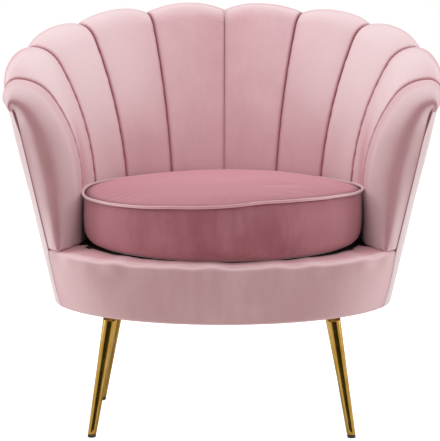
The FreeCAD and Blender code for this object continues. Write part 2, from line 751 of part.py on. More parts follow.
def plate(name, top):
    """Plate under the base ring: rounded corners and a screw hole in each corner."""
    label = f"leg_plate_{name}"
    body = doc.addObject("PartDesign::Body", label)
    half = size("plate_width") / 2
    outer_edge = size("leg_top_radius") + 2.0
    inner_edge = outer_edge - size("plate_length")
    corners = [(inner_edge, -half), (outer_edge, -half), (outer_edge, half), (inner_edge, half)]
    sketch = polygon_sketch(body, "XY_Plane", corners)
    slab_pad = body.newObject("PartDesign::Pad", f"{label}_slab")
    slab_pad.Profile = sketch
    expression(slab_pad, Length="Sizes.plate_thickness")
    doc.recompute()
    rounds = body.newObject("PartDesign::Fillet", f"{label}_rounds")
    upright = [f"Edge{i}" for i, e in enumerate(slab_pad.Shape.Edges, 1)
               if abs(e.Vertexes[0].Z - e.Vertexes[-1].Z) > 0.5]
    rounds.Base = (slab_pad, upright)
    expression(rounds, Radius="Sizes.plate_corner")
    doc.recompute()
    inset = size("screw_inset")
    holes = body.newObject("Sketcher::SketchObject", f"{label}_holes")
    holes.AttachmentSupport = [(origin_plane(body, "XY_Plane"), "")]
    holes.MapMode = "FlatFace"
    for number, (x, y) in enumerate(corners):
        centre_x = x + (inset if x < 0 else -inset)
        centre_y = y + (inset if y < 0 else -inset)
        circle = Part.Circle(FreeCAD.Vector(centre_x, centre_y, 0), FreeCAD.Vector(0, 0, 1), size("screw_hole_radius"))
        holes.addGeometry(circle, False)
        holes.addConstraint(Sketcher.Constraint("DistanceX", -1, 1, number, 3, centre_x))
        holes.addConstraint(Sketcher.Constraint("DistanceY", -1, 1, number, 3, centre_y))
        holes.addConstraint(Sketcher.Constraint("Radius", number, size("screw_hole_radius")))
    bore = body.newObject("PartDesign::Pocket", f"{label}_bore")
    bore.Profile = holes
    bore.Type = "ThroughAll"
    bore.Midplane = True
    doc.recompute()
    turn = math.degrees(math.atan2(top.y, top.x))
    body.Placement = FreeCAD.Placement(FreeCAD.Vector(top.x, top.y, top.z),
                                       FreeCAD.Rotation(FreeCAD.Vector(0, 0, 1), turn))
    keep(body, label)


for name, side, rank in (("front_left", -1, -1), ("front_right", 1, -1), ("back_left", -1, 1), ("back_right", 1, 1)):
    leg(name, side, rank)


# Loose cushion: a plan of tangent arcs, round behind and fuller in front.
rear = size("cushion_radius")
nose = size("cushion_nose_radius")
nose_reach = size("cushion_front") - nose
flank = (rear ** 2 + nose_reach ** 2 - nose ** 2) / (2 * (rear - nose))
flank_turn = math.degrees(math.atan2(nose_reach, flank - rear))
plan_arcs = [
    (0, 0, rear, 0, 90),
    (0, 0, rear, 90, 180),
    (flank - rear, 0, flank, 180, 180 + flank_turn),
    (0, -nose_reach, nose, 180 + flank_turn, 270),
    (0, -nose_reach, nose, 270, 360 - flank_turn),
    (rear - flank, 0, flank, 360 - flank_turn, 360),
]


def cushion_plan(inset, height):
    """Closed plan outline drawn in by an inset."""
    edges = []
    for x, y, radius, first, last in plan_arcs:
        centre = FreeCAD.Vector(x, y, height)
        edges.append(Part.makeCircle(radius - inset, centre, FreeCAD.Vector(0, 0, 1), first, last))
    return Part.Wire(edges)


def round_plan(profile):
    """Turns a face round every arc of the plan; profile(centre x, centre y, radius) gives it at angle 0."""
    sectors = []
    for x, y, radius, first, last in plan_arcs:
        centre = FreeCAD.Vector(x, y, 0)
        up = FreeCAD.Vector(0, 0, 1)
        face = profile(x, y, radius)
        face.rotate(centre, up, first)
        sectors.append(face.revolve(centre, up, last - first))
    return sectors[0].fuse(sectors[1:]).removeSplitter()


piping = size("piping_radius")
waist = size("cushion_waist")
cloth = size("cover_cloth")
top_piping = cushion_bottom + size("cushion_edge")
low_piping = cushion_bottom + piping + gap
side_low = low_piping + piping + gap
side_high = top_piping - piping / 2
rim = side_high + gap


def boxing_profile(x, y, radius):
    """The drawn-in side: full at half height, in by the waist at both pipings."""
    def place(inset, height):
        return FreeCAD.Vector(x + radius - inset, y, height)
    steps = [
        ((0.0, (side_low + side_high) / 2), (waist, side_high)),
        ((waist + cloth, side_high),),
        ((waist + cloth, side_low),),
    ]
    return Part.Face(outline(place, (waist, side_low), steps))


def piping_profile(inset, height):
    def profile(x, y, radius):
        corners = []
        for step in range(9):
            turn = math.radians(45 * step + 22.5)
            corners.append(FreeCAD.Vector(x + radius - inset + piping * math.cos(turn), y,
                                          height + piping * math.sin(turn)))
        return Part.Face(Part.makePolygon(corners))
    return profile


keep_shape(round_plan(boxing_profile), "cushion_boxing")
keep_shape(round_plan(piping_profile(piping + gap, top_piping)), "cushion_piping_top")
keep_shape(round_plan(piping_profile(piping + gap, low_piping)), "cushion_piping_bottom")


def crown_ball(drop):
    """The ball whose cap crowns the cushion's top."""
    reach = (rear + size("cushion_front")) / 2 - waist
    rise = size("cushion_crown")
    radius = (reach ** 2 + rise ** 2) / (2 * rise)
    top = rim + cloth + rise - drop
    centre = FreeCAD.Vector(0, (rear - size("cushion_front")) / 2, top - radius)
    return Part.makeSphere(radius, centre, FreeCAD.Vector(1, 0, 0), -90, 90, 360)


def plan_block(inset, low, high):
    return Part.Face(cushion_plan(inset, low)).extrude(FreeCAD.Vector(0, 0, high - low))


above = rim + cloth + 2 * size("cushion_crown")
top_panel = plan_block(waist, rim - cloth, above).common(crown_ball(0)).cut(crown_ball(cloth))
keep_shape(top_panel, "cushion_top_panel")
core = plan_block(waist + cloth + gap, cushion_bottom + cloth + gap, above).common(crown_ball(cloth + gap))
keep_shape(core, "cushion_core")
keep_shape(plan_block(2 * (piping + gap), cushion_bottom, cushion_bottom + cloth), "cushion_bottom_panel")


doc.recompute()
for item in doc.Objects:
    if "Invalid" in item.State or "Error" in item.State:
        raise RuntimeError(f"{item.Label} did not compute: {item.State}")
for piece in subparts:
    if piece.Shape.isNull() or not piece.Shape.isValid() or piece.Shape.Volume <= 0:
        raise RuntimeError(f"{piece.Label} has no valid shape")

os.makedirs("parts", exist_ok=True)
for piece in subparts:
    piece.Shape.exportStep(f"parts/{piece.Label}.step")
print(f"{len(subparts)} sub-parts written")
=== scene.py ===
import math
import bmesh
import bpy
import numpy as np
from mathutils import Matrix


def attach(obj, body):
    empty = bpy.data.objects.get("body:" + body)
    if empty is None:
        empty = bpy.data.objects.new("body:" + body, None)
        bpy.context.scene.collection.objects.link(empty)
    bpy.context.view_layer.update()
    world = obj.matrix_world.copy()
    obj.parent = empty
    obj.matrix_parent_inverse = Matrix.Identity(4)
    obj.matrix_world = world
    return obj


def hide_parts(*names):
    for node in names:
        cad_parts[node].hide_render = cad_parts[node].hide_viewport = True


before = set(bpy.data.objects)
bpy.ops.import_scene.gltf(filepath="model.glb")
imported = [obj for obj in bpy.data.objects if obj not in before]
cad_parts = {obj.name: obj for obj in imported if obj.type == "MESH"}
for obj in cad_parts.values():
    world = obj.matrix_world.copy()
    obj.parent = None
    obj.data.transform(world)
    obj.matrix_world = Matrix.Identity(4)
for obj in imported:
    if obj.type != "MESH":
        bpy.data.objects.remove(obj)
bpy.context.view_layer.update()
print("frame loaded:", len(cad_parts), "nodes")

# Lengths in the dictionaries are millimetres, angles degrees. A point is worked out round the
# barrel's upright centre line, and putMesh sets it in the chair's frame in metres.
# Angles round the barrel count from the back centre seam; right is +X and the front faces -Y.
barrel = dict(
    centreY=-67.0, channelAngle=22.0, seatLine=430.0, padBottom=313.9,
    seatRadius=(270.0, 262.0), topRadius=(410.0, 382.0), topHeight=(731.0, 629.0),
    rollRadius=(19.0, 24.5), seatLean=(10.0, 0.0), dropPower=1.3,
    leanSwitch=31.0, faceSlope=26.0, rollEnd=208.0,
    baseRadius=311.5, flare=0.225, baseHeight=218.0, linerDepth=29.3,
    shellSwell=4.0, swellFrom=380.0, swellTo=530.0,
)
armAngle = 4 * barrel["channelAngle"]


def blend(first, last, share):
    # first where share is 0, last where it is 1, straight between them
    return first + (last - first) * share


def fade(value, low, high):
    # 0 below low, 1 above high, and 3t^2 - 2t^3 between them
    t = np.clip((value - low) / (high - low), 0, 1)
    return t * t * (3 - 2 * t)


def ripple(a, b, waves):
    # sum of sines: each wave is (height, length along a, length along b, phase)
    total = 0.0
    for height, alongA, alongB, phase in waves:
        total = total + height * np.sin(2 * np.pi * (a / alongA + b / alongB) + phase)
    return total


def gridFaces(rows, columns, loopRows=False, loopColumns=False):
    # quads of a grid of points stored row by row, joined round where it loops
    r = np.arange(rows if loopRows else rows - 1)[:, None]
    c = np.arange(columns if loopColumns else columns - 1)[None, :]
    nextRow, nextColumn = (r + 1) % rows, (c + 1) % columns
    corners = [r * columns + c, r * columns + nextColumn,
               nextRow * columns + nextColumn, nextRow * columns + c]
    return np.stack(np.broadcast_arrays(*corners), -1).reshape(-1, 4).tolist()


def putMesh(name, points, faces, material, seam=None, paintedHighlight=None):
    # a smooth piece whose faces point outwards, with the layers that its material reads
    mesh = bpy.data.meshes.new(name)
    place = points.reshape(-1, 3) * 0.001 + np.array([0, barrel["centreY"] * 0.001, 0])
    mesh.from_pydata(place.tolist(), [], faces)
    work = bmesh.new()
    work.from_mesh(mesh)
    bmesh.ops.recalc_face_normals(work, faces=work.faces)
    work.to_mesh(mesh)
    work.free()
    mesh.polygons.foreach_set("use_smooth", np.ones(len(mesh.polygons), bool))
    for layer, values in (("seam", seam), ("paintedHighlight", paintedHighlight)):
        if values is not None:
            paint(mesh, layer, values)
    mesh.materials.append(material)
    piece = bpy.data.objects.new(name, mesh)
    bpy.context.scene.collection.objects.link(piece)
    return piece


def paint(mesh, layer, values):
    # one value per point, read by the material as an attribute
    made = mesh.attributes.new(layer, "FLOAT", "POINT")
    made.data.foreach_set("value", values.astype(np.float32).ravel())


def putLoop(name, points, material, seam, paintedHighlight=None, side=1):
    # a solid whose rows loop round it, with one many-sided face at each end; side -1 mirrors it
    rows, columns = points.shape[:2]
    first = [r * columns for r in range(rows)]
    last = [r * columns + columns - 1 for r in range(rows)]
    faces = gridFaces(rows, columns, loopRows=True) + [first, last[::-1]]
    return putMesh(name, points * np.array([side, 1, 1]), faces, material, seam, paintedHighlight)


def putRings(name, rings, material):
    # a closed skin over rings of points, with one many-sided face at each end
    points = np.stack(rings)
    rows, columns = points.shape[:2]
    first, last = list(range(columns)), list(range((rows - 1) * columns, rows * columns))
    faces = gridFaces(rows, columns, loopColumns=True) + [first, last[::-1]]
    return putMesh(name, points, faces, material)


def wear(piece, body, nodes):
    # the piece moves with its body and stands for its solids
    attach(piece, body)
    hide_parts(*nodes)


def frontNormals(points, row, column):
    # Cross product of the two grid directions, made one unit long, on the side of the surface
    # that looks to the front at the given point.
    normal = np.cross(np.gradient(points, axis=0), np.gradient(points, axis=1))
    normal = normal / np.maximum(np.linalg.norm(normal, axis=2, keepdims=True), 1e-9)
    return -normal if normal[row, column, 1] > 0 else normal


def roundOver(distance, width, depth):
    # how far a cushion's edge falls away within width of its seam: a quarter ellipse
    t = np.clip(1 - distance / width, 0, 1)
    return depth * (1 - np.sqrt(1 - t * t))


# ---- colours and materials


def linear(hexColour):
    # sRGB hex to the linear values that shaders work in
    parts = [int(hexColour[i:i + 2], 16) / 255 for i in (1, 3, 5)]
    return tuple(p / 12.92 if p <= 0.04045 else ((p + 0.055) / 1.055) ** 2.4 for p in parts) + (1.0,)


def addNode(tree, kind, inputs=None, stops=None, **settings):
    # one node with its settings, its colour stops as (position, hex), and its values or links
    made = tree.nodes.new(kind)
    for key, value in settings.items():
        setattr(made, key, value)
    if stops:
        elements = made.color_ramp.elements
        elements[0].position, elements[1].position = stops[0][0], stops[-1][0]
        elements[0].color, elements[1].color = linear(stops[0][1]), linear(stops[-1][1])
        for position, colour in stops[1:-1]:
            elements.new(position).color = linear(colour)
    for key, value in (inputs or {}).items():
        socket = made.inputs[key]
        if kind == "ShaderNodeMix" and key in ("A", "B"):  # several sockets share these names
            socket = next(one for one in made.inputs if one.name == key and one.type == "RGBA")
        if isinstance(value, bpy.types.NodeSocket):
            tree.links.new(value, socket)
        else:
            socket.default_value = value
    return made


def newMaterial(name):
    # a Principled material, its nodes and its shader
    material = bpy.data.materials.new(name)
    material.use_nodes = True
    tree = material.node_tree
    shader = next(n for n in tree.nodes if n.type == "BSDF_PRINCIPLED")
    return material, tree, shader


def perMetre(millimetres):
    # a texture's scale for a pattern of a real size
    return 1000.0 / millimetres


# Sizes in mm, shares, and for the two painted tilts (sheen and rim tone) the facing values where the
# colour starts and ends to turn and how far it turns. The pile is under 1 mm; its grain is drawn at 2 mm
# so that it shows.
pile = dict(patchStretch=0.6, streak=14.0, streakStretch=0.22, streakShare=0.28, tone=(0.4, 0.88),
            paintedSheenTilt=(0.1, 0.62, 0.85), paintedRimTilt=(0.6, 0.95, 0.9), grain=2.0, roughness=(0.6, 0.8),
            bump=0.15, relief=0.0005, specular=0.15, sheenRoughness=0.45, sheenTint="#fff2f3")


def velvet(name, deep, middle, pale, paintedSheen, paintedRimTone, seamColour, sheen=0.35, patch=120.0):
    # Short cut-pile polyester velvet with painted sheen: deep where the surface faces the eye, pale where
    # it is seen side on; and broad lighter and darker patches where it was stroked one way or the other.
    material, tree, shader = newMaterial(name)
    place = addNode(tree, "ShaderNodeTexCoord").outputs["Object"]
    noises = []
    for size, stretch, detail, roughness, distortion in (
            (patch, pile["patchStretch"], 4.0, 0.5, 0.5),
            (pile["streak"], pile["streakStretch"], 3.0, 0.6, 0.0)):
        placed = addNode(tree, "ShaderNodeMapping", {
            "Vector": place, "Scale": (1.0, 1.0, stretch)}).outputs["Vector"]
        noises.append(addNode(tree, "ShaderNodeTexNoise", {
            "Vector": placed, "Scale": perMetre(size), "Detail": detail, "Roughness": roughness,
            "Distortion": distortion}).outputs["Fac"])
    patches, streaks = noises
    light = addNode(tree, "ShaderNodeMath", {
        0: streaks, 1: pile["streakShare"]}, operation="MULTIPLY").outputs[0]
    tone = addNode(tree, "ShaderNodeMath", {0: patches, 1: light}, operation="ADD").outputs[0]
    tone = addNode(tree, "ShaderNodeMapRange", {
        "Value": tone, "From Min": pile["tone"][0], "From Max": pile["tone"][1]}).outputs["Result"]
    colour = addNode(tree, "ShaderNodeValToRGB", {"Fac": tone}, stops=[
        (0.0, deep), (0.5, middle), (1.0, pale)]).outputs["Color"]
    # laid over it: painted sheen side on, a painted rim tone at the edge of view, a painted highlight
    # where a piece paints one, and the seams' dark line, partly their own colour and partly painted shade
    layers = []
    facing = addNode(tree, "ShaderNodeLayerWeight", {"Blend": 0.5}).outputs["Facing"]
    # painted sheen and painted rim tone, by how side on the surface is seen
    for (low, high, most), shade in ((pile["paintedSheenTilt"], paintedSheen), (pile["paintedRimTilt"], paintedRimTone)):
        tilt = addNode(tree, "ShaderNodeMapRange", {
            "Value": facing, "From Min": low, "From Max": high, "To Max": most},
            interpolation_type="SMOOTHSTEP").outputs["Result"]
        layers.append((tilt, shade))
    for layer, shade in (("paintedHighlight", paintedSheen), ("seam", seamColour)):
        layers.append((addNode(tree, "ShaderNodeAttribute", attribute_name=layer).outputs["Fac"], shade))
    for share, shade in layers:
        mixed = addNode(tree, "ShaderNodeMix", {
            "Factor": share, "A": colour, "B": linear(shade)}, data_type="RGBA")
        colour = next(out for out in mixed.outputs if out.type == "RGBA")
    tree.links.new(colour, shader.inputs["Base Color"])
    grain = addNode(tree, "ShaderNodeTexNoise", {
        "Vector": place, "Scale": perMetre(pile["grain"]), "Detail": 3.0, "Roughness": 0.7}).outputs["Fac"]
    rough = addNode(tree, "ShaderNodeMapRange", {
        "Value": grain, "To Min": pile["roughness"][0], "To Max": pile["roughness"][1]}).outputs["Result"]
    tree.links.new(rough, shader.inputs["Roughness"])
    height = addNode(tree, "ShaderNodeMath", {0: grain, 1: streaks}, operation="ADD").outputs[0]
    bump = addNode(tree, "ShaderNodeBump", {
        "Strength": pile["bump"], "Distance": pile["relief"], "Height": height}).outputs["Normal"]
    tree.links.new(bump, shader.inputs["Normal"])
    shader.inputs["IOR"].default_value = 1.5
    shader.inputs["Specular IOR Level"].default_value = pile["specular"]
    shader.inputs["Sheen Weight"].default_value = sheen
    shader.inputs["Sheen Roughness"].default_value = pile["sheenRoughness"]
    shader.inputs["Sheen Tint"].default_value = linear(pile["sheenTint"])
    return material


def plainFinish(name, stops, size, roughness, grain=(1, 1, 1), metallic=0.0, bump=0.0002):
    # A finish with one noise of a real size for colour, roughness and a slight relief.
    material, tree, shader = newMaterial(name)
    place = addNode(tree, "ShaderNodeTexCoord").outputs["Object"]
    placed = addNode(tree, "ShaderNodeMapping", {"Vector": place, "Scale": grain}).outputs["Vector"]
    noise = addNode(tree, "ShaderNodeTexNoise", {
        "Vector": placed, "Scale": perMetre(size), "Detail": 4.0}).outputs["Fac"]
    colour = addNode(tree, "ShaderNodeValToRGB", {"Fac": noise}, stops=stops).outputs["Color"]
    tree.links.new(colour, shader.inputs["Base Color"])
    rough = addNode(tree, "ShaderNodeMapRange", {
        "Value": noise, "To Min": roughness[0], "To Max": roughness[1]}).outputs["Result"]
    tree.links.new(rough, shader.inputs["Roughness"])
    relief = addNode(tree, "ShaderNodeBump", {
        "Strength": 0.4, "Distance": bump, "Height": noise}).outputs["Normal"]
    tree.links.new(relief, shader.inputs["Normal"])
    shader.inputs["Metallic"].default_value = metallic
    if not metallic:
        shader.inputs["IOR"].default_value = 1.5
    return material


# one pink velvet throughout; the copies' tones are painted light and shade: lightest on the back, darker
# on the outside, border and arm fronts, darkest on the cushion, the piping lighter than the cushion as a
# painted highlight, and the rim tone darker pink on the back, lighter on the rest
backVelvet = velvet(
    "velvetBack", "#dcaeb4", "#e4b9be", "#ecc4c8", "#f7dfe2", "#d98f99", "#b06a73")
armVelvet = velvet(
    "velvetArm", "#b38588", "#bd9094", "#c79ca0", "#f2d8db", "#e6bcc1", "#965f66")
outsideVelvet = velvet(
    "velvetOutside", "#bf9497", "#c89ea1", "#d1a9ac", "#f0d8da", "#fbf0f1", "#935c63")
borderVelvet = velvet(
    "velvetBorder", "#bf9597", "#c8a0a1", "#d2acad", "#edcbce", "#e3a0aa", "#8a5a60")
cushionVelvet = velvet(
    "velvetCushion", "#94575f", "#a2656c", "#b1767d", "#c5858f", "#df98a5", "#7a3d46",
    sheen=0.25, patch=70.0)
pipingVelvet = velvet(
    "velvetPiping", "#c78e95", "#d29aa1", "#dda8ae", "#f1d0d4", "#f3d5d8", "#8a4f56")
# polished brass-coloured plating: clear reflections, faint swirls from polishing
goldPlate = plainFinish(
    "platedGold", [(0.3, "#c99c3a"), (0.7, "#deb65f")], 30.0, (0.10, 0.20), metallic=1.0, bump=0.00003)
# zinc-plated steel: grey, blotched, dull
zincSteel = plainFinish(
    "zincPlatedSteel", [(0.3, "#9a9fa3"), (0.7, "#b9bdc0")], 6.0, (0.35, 0.5), metallic=1.0)
# sanded plywood: pale, with upright grain
plywood = plainFinish(
    "birchPlywood", [(0.3, "#c8a878"), (0.7, "#dcc296")], 8.0, (0.55, 0.7), grain=(1, 1, 6))
fibreboard = plainFinish("fibreboard", [(0.3, "#6d5238"), (0.7, "#85674a")], 3.0, (0.7, 0.85))
# woven and bonded cloths: dark and matt
strapWeave = plainFinish(
    "jutePolyWebbing", [(0.3, "#2b2a28"), (0.7, "#4a4844")], 2.0, (0.7, 0.9), grain=(1, 4, 1))
deckCloth = plainFinish("deckingCloth", [(0.3, "#2a2223"), (0.7, "#3a3032")], 2.5, (0.8, 0.95))
blackCloth = plainFinish("spunbondCloth", [(0.3, "#141414"), (0.7, "#232323")], 3.0, (0.8, 0.95))
# moulded nylon: dark, with a dull shine
glidePlastic = plainFinish("nylonGlide", [(0.3, "#3c342b"), (0.7, "#4a4035")], 4.0, (0.4, 0.55))

bodyMaterials = {
    "leg_plate": zincSteel, "leg_glide": glidePlastic, "leg_tube": goldPlate, "webbing": strapWeave,
    "back_liner": fibreboard, "dust_cover": blackCloth, "deck_pad": deckCloth,
}
for nodeName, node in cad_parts.items():
    chosen = next((m for start, m in bodyMaterials.items() if nodeName.startswith(start)), plywood)
    node.data.materials.clear()
    node.data.materials.append(chosen)
print("materials made")


# ---- the barrel's shape


def sweepShare(phi):
    # 0 at the back centre seam, 1 at the arm seam: ((1 - cos phi) / (1 - cos arm angle)) ^ power
    reach = 1 - np.cos(np.radians(np.minimum(np.abs(phi), armAngle)))
    return (reach / (1 - math.cos(math.radians(armAngle)))) ** barrel["dropPower"]


def coneRadius(height):
    # the flared side without its padding
    return barrel["baseRadius"] + barrel["flare"] * (height - barrel["baseHeight"])


channel = dict(topSwell=14.0, rollSwell=6.0, seatSwell=1.5, leanSwell=1.5, fullness=2.3,
               width=125.0, seamWidth=6.0, seamDepth=2.6, columns=30, gap=0.1,
               line=(3.6, 4.6), lineStrength=0.45, paintedHighlight=0.85, highlightFrom=470.0, highlightTo=600.0)


def sectionPoint(phi, swell, travel):
    # Radius and height on the face and the rolled top. travel 0 to 1 is the lower arc, 1 to 2 the
    # upper arc that ends level, 2 to 3 the roll. On an arc that starts at lean a, a point is
    # start + radius * (cos a - cos lean, sin lean - sin a).
    share = sweepShare(phi)
    radius = blend(*barrel["seatRadius"], share) - channel["seatSwell"] * swell
    topRadius = blend(*barrel["topRadius"], share)
    topHeight = blend(*barrel["topHeight"], share) + channel["topSwell"] * swell
    roll = blend(*barrel["rollRadius"], share) + channel["rollSwell"] * swell
    reach, rise = topRadius - radius, topHeight - barrel["seatLine"]
    a = np.radians(blend(*barrel["seatLean"], share) - channel["leanSwell"] * swell)
    b = math.radians(barrel["leanSwitch"]) * np.degrees(np.arctan2(reach, rise)) / barrel["faceSlope"]
    # the two arcs' radii, from the way that each covers and the way that both have to
    lowerX, lowerZ = np.cos(a) - np.cos(b), np.sin(b) - np.sin(a)
    upperX, upperZ = np.cos(b), 1 - np.sin(b)
    area = lowerX * upperZ - upperX * lowerZ
    lower = (reach * upperZ - upperX * rise) / area
    upper = (lowerX * rise - lowerZ * reach) / area
    leanLow = a + (b - a) * np.clip(travel, 0, 1)
    leanHigh = b + (np.pi / 2 - b) * np.clip(travel - 1, 0, 1)
    leanRoll = np.pi / 2 + math.radians(barrel["rollEnd"] - 90) * np.clip(travel - 2, 0, 1)
    x = radius + lower * (np.cos(a) - np.cos(leanLow)) + upper * (np.cos(b) - np.cos(leanHigh))
    x = x - roll * np.cos(leanRoll)
    z = lower * (np.sin(leanLow) - np.sin(a)) + upper * (np.sin(leanHigh) - np.sin(b))
    z = barrel["seatLine"] + z + roll * (np.sin(leanRoll) - 1)
    return x, z


def shellRadius(height):
    # the padded outside: the flared side, fuller above the seat
    return coneRadius(height) + barrel["shellSwell"] * fade(height, barrel["swellFrom"], barrel["swellTo"])


def rollFoot(phi):
    # where the roll's underside, a straight line from its end, meets the padded outside
    x, z = sectionPoint(phi, 0.0, 3.0)
    run = math.tan(math.radians(barrel["rollEnd"] - 180))
    offset = barrel["baseRadius"] + barrel["shellSwell"] - barrel["flare"] * barrel["baseHeight"]
    height = (offset - x + z * run) / (run - barrel["flare"])
    return shellRadius(height), height


def ringPoints(phi, radius, height, sideways=0.0):
    # points at an angle, a radius and a height, moved sideways along the ring
    turn = np.radians(phi)
    x = radius * np.sin(turn) + sideways * np.cos(turn)
    y = radius * np.cos(turn) - sideways * np.sin(turn)
    return np.stack(np.broadcast_arrays(x, y, height), -1)


def across(columns, edge, full):
    # shares of the width, crowded within edge of both ends so that the seam's curve is round
    near = edge / full * (1 - np.cos(np.linspace(0, np.pi / 2, 7)))
    middle = np.linspace(near[-1], 1 - near[-1], columns)
    return np.concatenate([near[:-1], middle, 1 - near[-2::-1]])


lowRows, lowerArc, upperArc, rollArc = 11, 34, 38, 26
faceTravel = np.concatenate([
    np.linspace(0, 1, lowerArc), np.linspace(1, 2, upperArc)[1:], np.linspace(2, 3, rollArc)[1:]])


def channelPad(name, number, side):
    # Grid: up the face, over the roll, under it, down the liner; across from seam to seam.
    # The swell is 1 - |2u - 1| ^ fullness, and the edge rolls into the seam.
    u = across(channel["columns"], channel["seamWidth"], channel["width"])[None, :]
    phi = (number - 1 + u) * barrel["channelAngle"]
    swell = 1 - np.abs(2 * u - 1) ** channel["fullness"]
    sideways = blend(channel["gap"] / 2, -channel["gap"] / 2, u)
    radius, height = sectionPoint(phi, swell, faceTravel[:, None])
    low = np.linspace(barrel["padBottom"], barrel["seatLine"], lowRows + 1)[:-1, None]
    lowRadius = np.broadcast_to(radius[:1], (len(low), u.shape[1]))
    radius = np.concatenate([lowRadius, radius])
    height = np.concatenate([np.broadcast_to(low, lowRadius.shape), height])
    footRadius, footHeight = rollFoot(phi)
    under = np.linspace(0, 1, 8)[1:, None]
    radius = np.concatenate([radius, blend(radius[-1:], footRadius, under)])
    height = np.concatenate([height, blend(height[-1:], footHeight, under)])
    shown = ringPoints(phi, radius, height, sideways)
    normal = frontNormals(shown, 20, shown.shape[1] // 2)
    width = radius * math.radians(barrel["channelAngle"])
    distance = np.minimum(u, 1 - u) * width
    row = np.arange(len(radius))[:, None]
    travel = row * 6.0
    phase = number * 1.7 + side * 0.9
    puckers = ripple(travel, distance, [(0.35, 31.0, 90.0, phase), (0.3, 17.0, -70.0, 2 * phase)])
    puckers = puckers * np.exp(-distance / 14.0)
    drape = ripple(travel, u * 100, [(0.6, 260.0, 170.0, phase), (0.5, 420.0, -120.0, 3 * phase)])
    drape = drape * fade(distance, 4, 40)
    depth = channel["seamDepth"] * blend(0.5, 1.0, fade(phi, 0, 22))
    fall = roundOver(distance, channel["seamWidth"], depth)
    shown = shown + normal * (puckers + drape - fall)[..., None]
    liner = coneRadius(footHeight) - barrel["linerDepth"]
    backRadius = [blend(footRadius, liner, 0.5), liner]
    backHeight = [footHeight, footHeight]
    for share in (0.33, 0.66, 1.0):
        z = blend(footHeight, barrel["padBottom"], share)
        backRadius.append(coneRadius(z) - barrel["linerDepth"])
        backHeight.append(z)
    back = ringPoints(phi, np.concatenate(backRadius), np.concatenate(backHeight), sideways)
    points = np.concatenate([shown, back])
    seam = np.zeros(points.shape[:2])
    line = blend(*channel["line"], np.clip(phi / armAngle, 0, 1))
    strength = blend(channel["lineStrength"], 1.0, fade(phi, 0, 30))
    seam[:len(shown)] = strength * np.exp(-(distance / line) ** 2)
    # painted highlight: paler on the upper face, more so towards the arms, and fading out where the roll
    # begins
    rollRow = lowRows + lowerArc + upperArc
    upper = fade(height, channel["highlightFrom"], channel["highlightTo"])
    upper = upper * (1 - fade(row, rollRow - 11, rollRow + 9))
    paintedHighlight = np.zeros(points.shape[:2])
    paintedHighlight[:len(shown)] = channel["paintedHighlight"] * fade(phi, 0, 52) * upper * blend(0.55, 1.0, swell)
    return putLoop(name, points, backVelvet, seam, paintedHighlight, side)


for side, word in ((1, "Right"), (-1, "Left")):
    for number in range(1, 5):
        pad = channelPad(f"channel{number}{word}", number, side)
        wear(pad, "chair", [f"channel_pad_{number}_{word.lower()}"])
print("channels made")


arm = dict(seamSetback=100.0, bullnose=28.0, fanDelay=25.0, lowest=325.3, seamWidth=5.5, seamDepth=3.2,
           depth=30.0, postFront=60.0, skin=6.3, line=4.2, pleats=1.1, footEdge=5.0,
           tuckHeight=105.0, hollow=22.0)


def through(knots, t):
    # smooth curve through knots (a list of arrays); tangents are half the chord past each knot
    knots = [np.asarray(k, float) for k in knots]
    count = len(knots)
    slopes = [knots[1] - knots[0]] + [(knots[i + 1] - knots[i - 1]) / 2 for i in range(1, count - 1)]
    slopes.append(knots[-1] - knots[-2])
    place = np.clip(t * (count - 1), 0, count - 1 - 1e-9)
    span = place.astype(int)
    f = place - span
    total = 0.0
    for i in range(count - 1):
        here = span == i
        g = np.where(here, f, 0)
        value = ((2 * g**3 - 3 * g**2 + 1) * knots[i] + (g**3 - 2 * g**2 + g) * slopes[i]
                 + (3 * g**2 - 2 * g**3) * knots[i + 1] + (g**3 - g**2) * slopes[i + 1])
        total = total + np.where(here, value, 0)
    return total


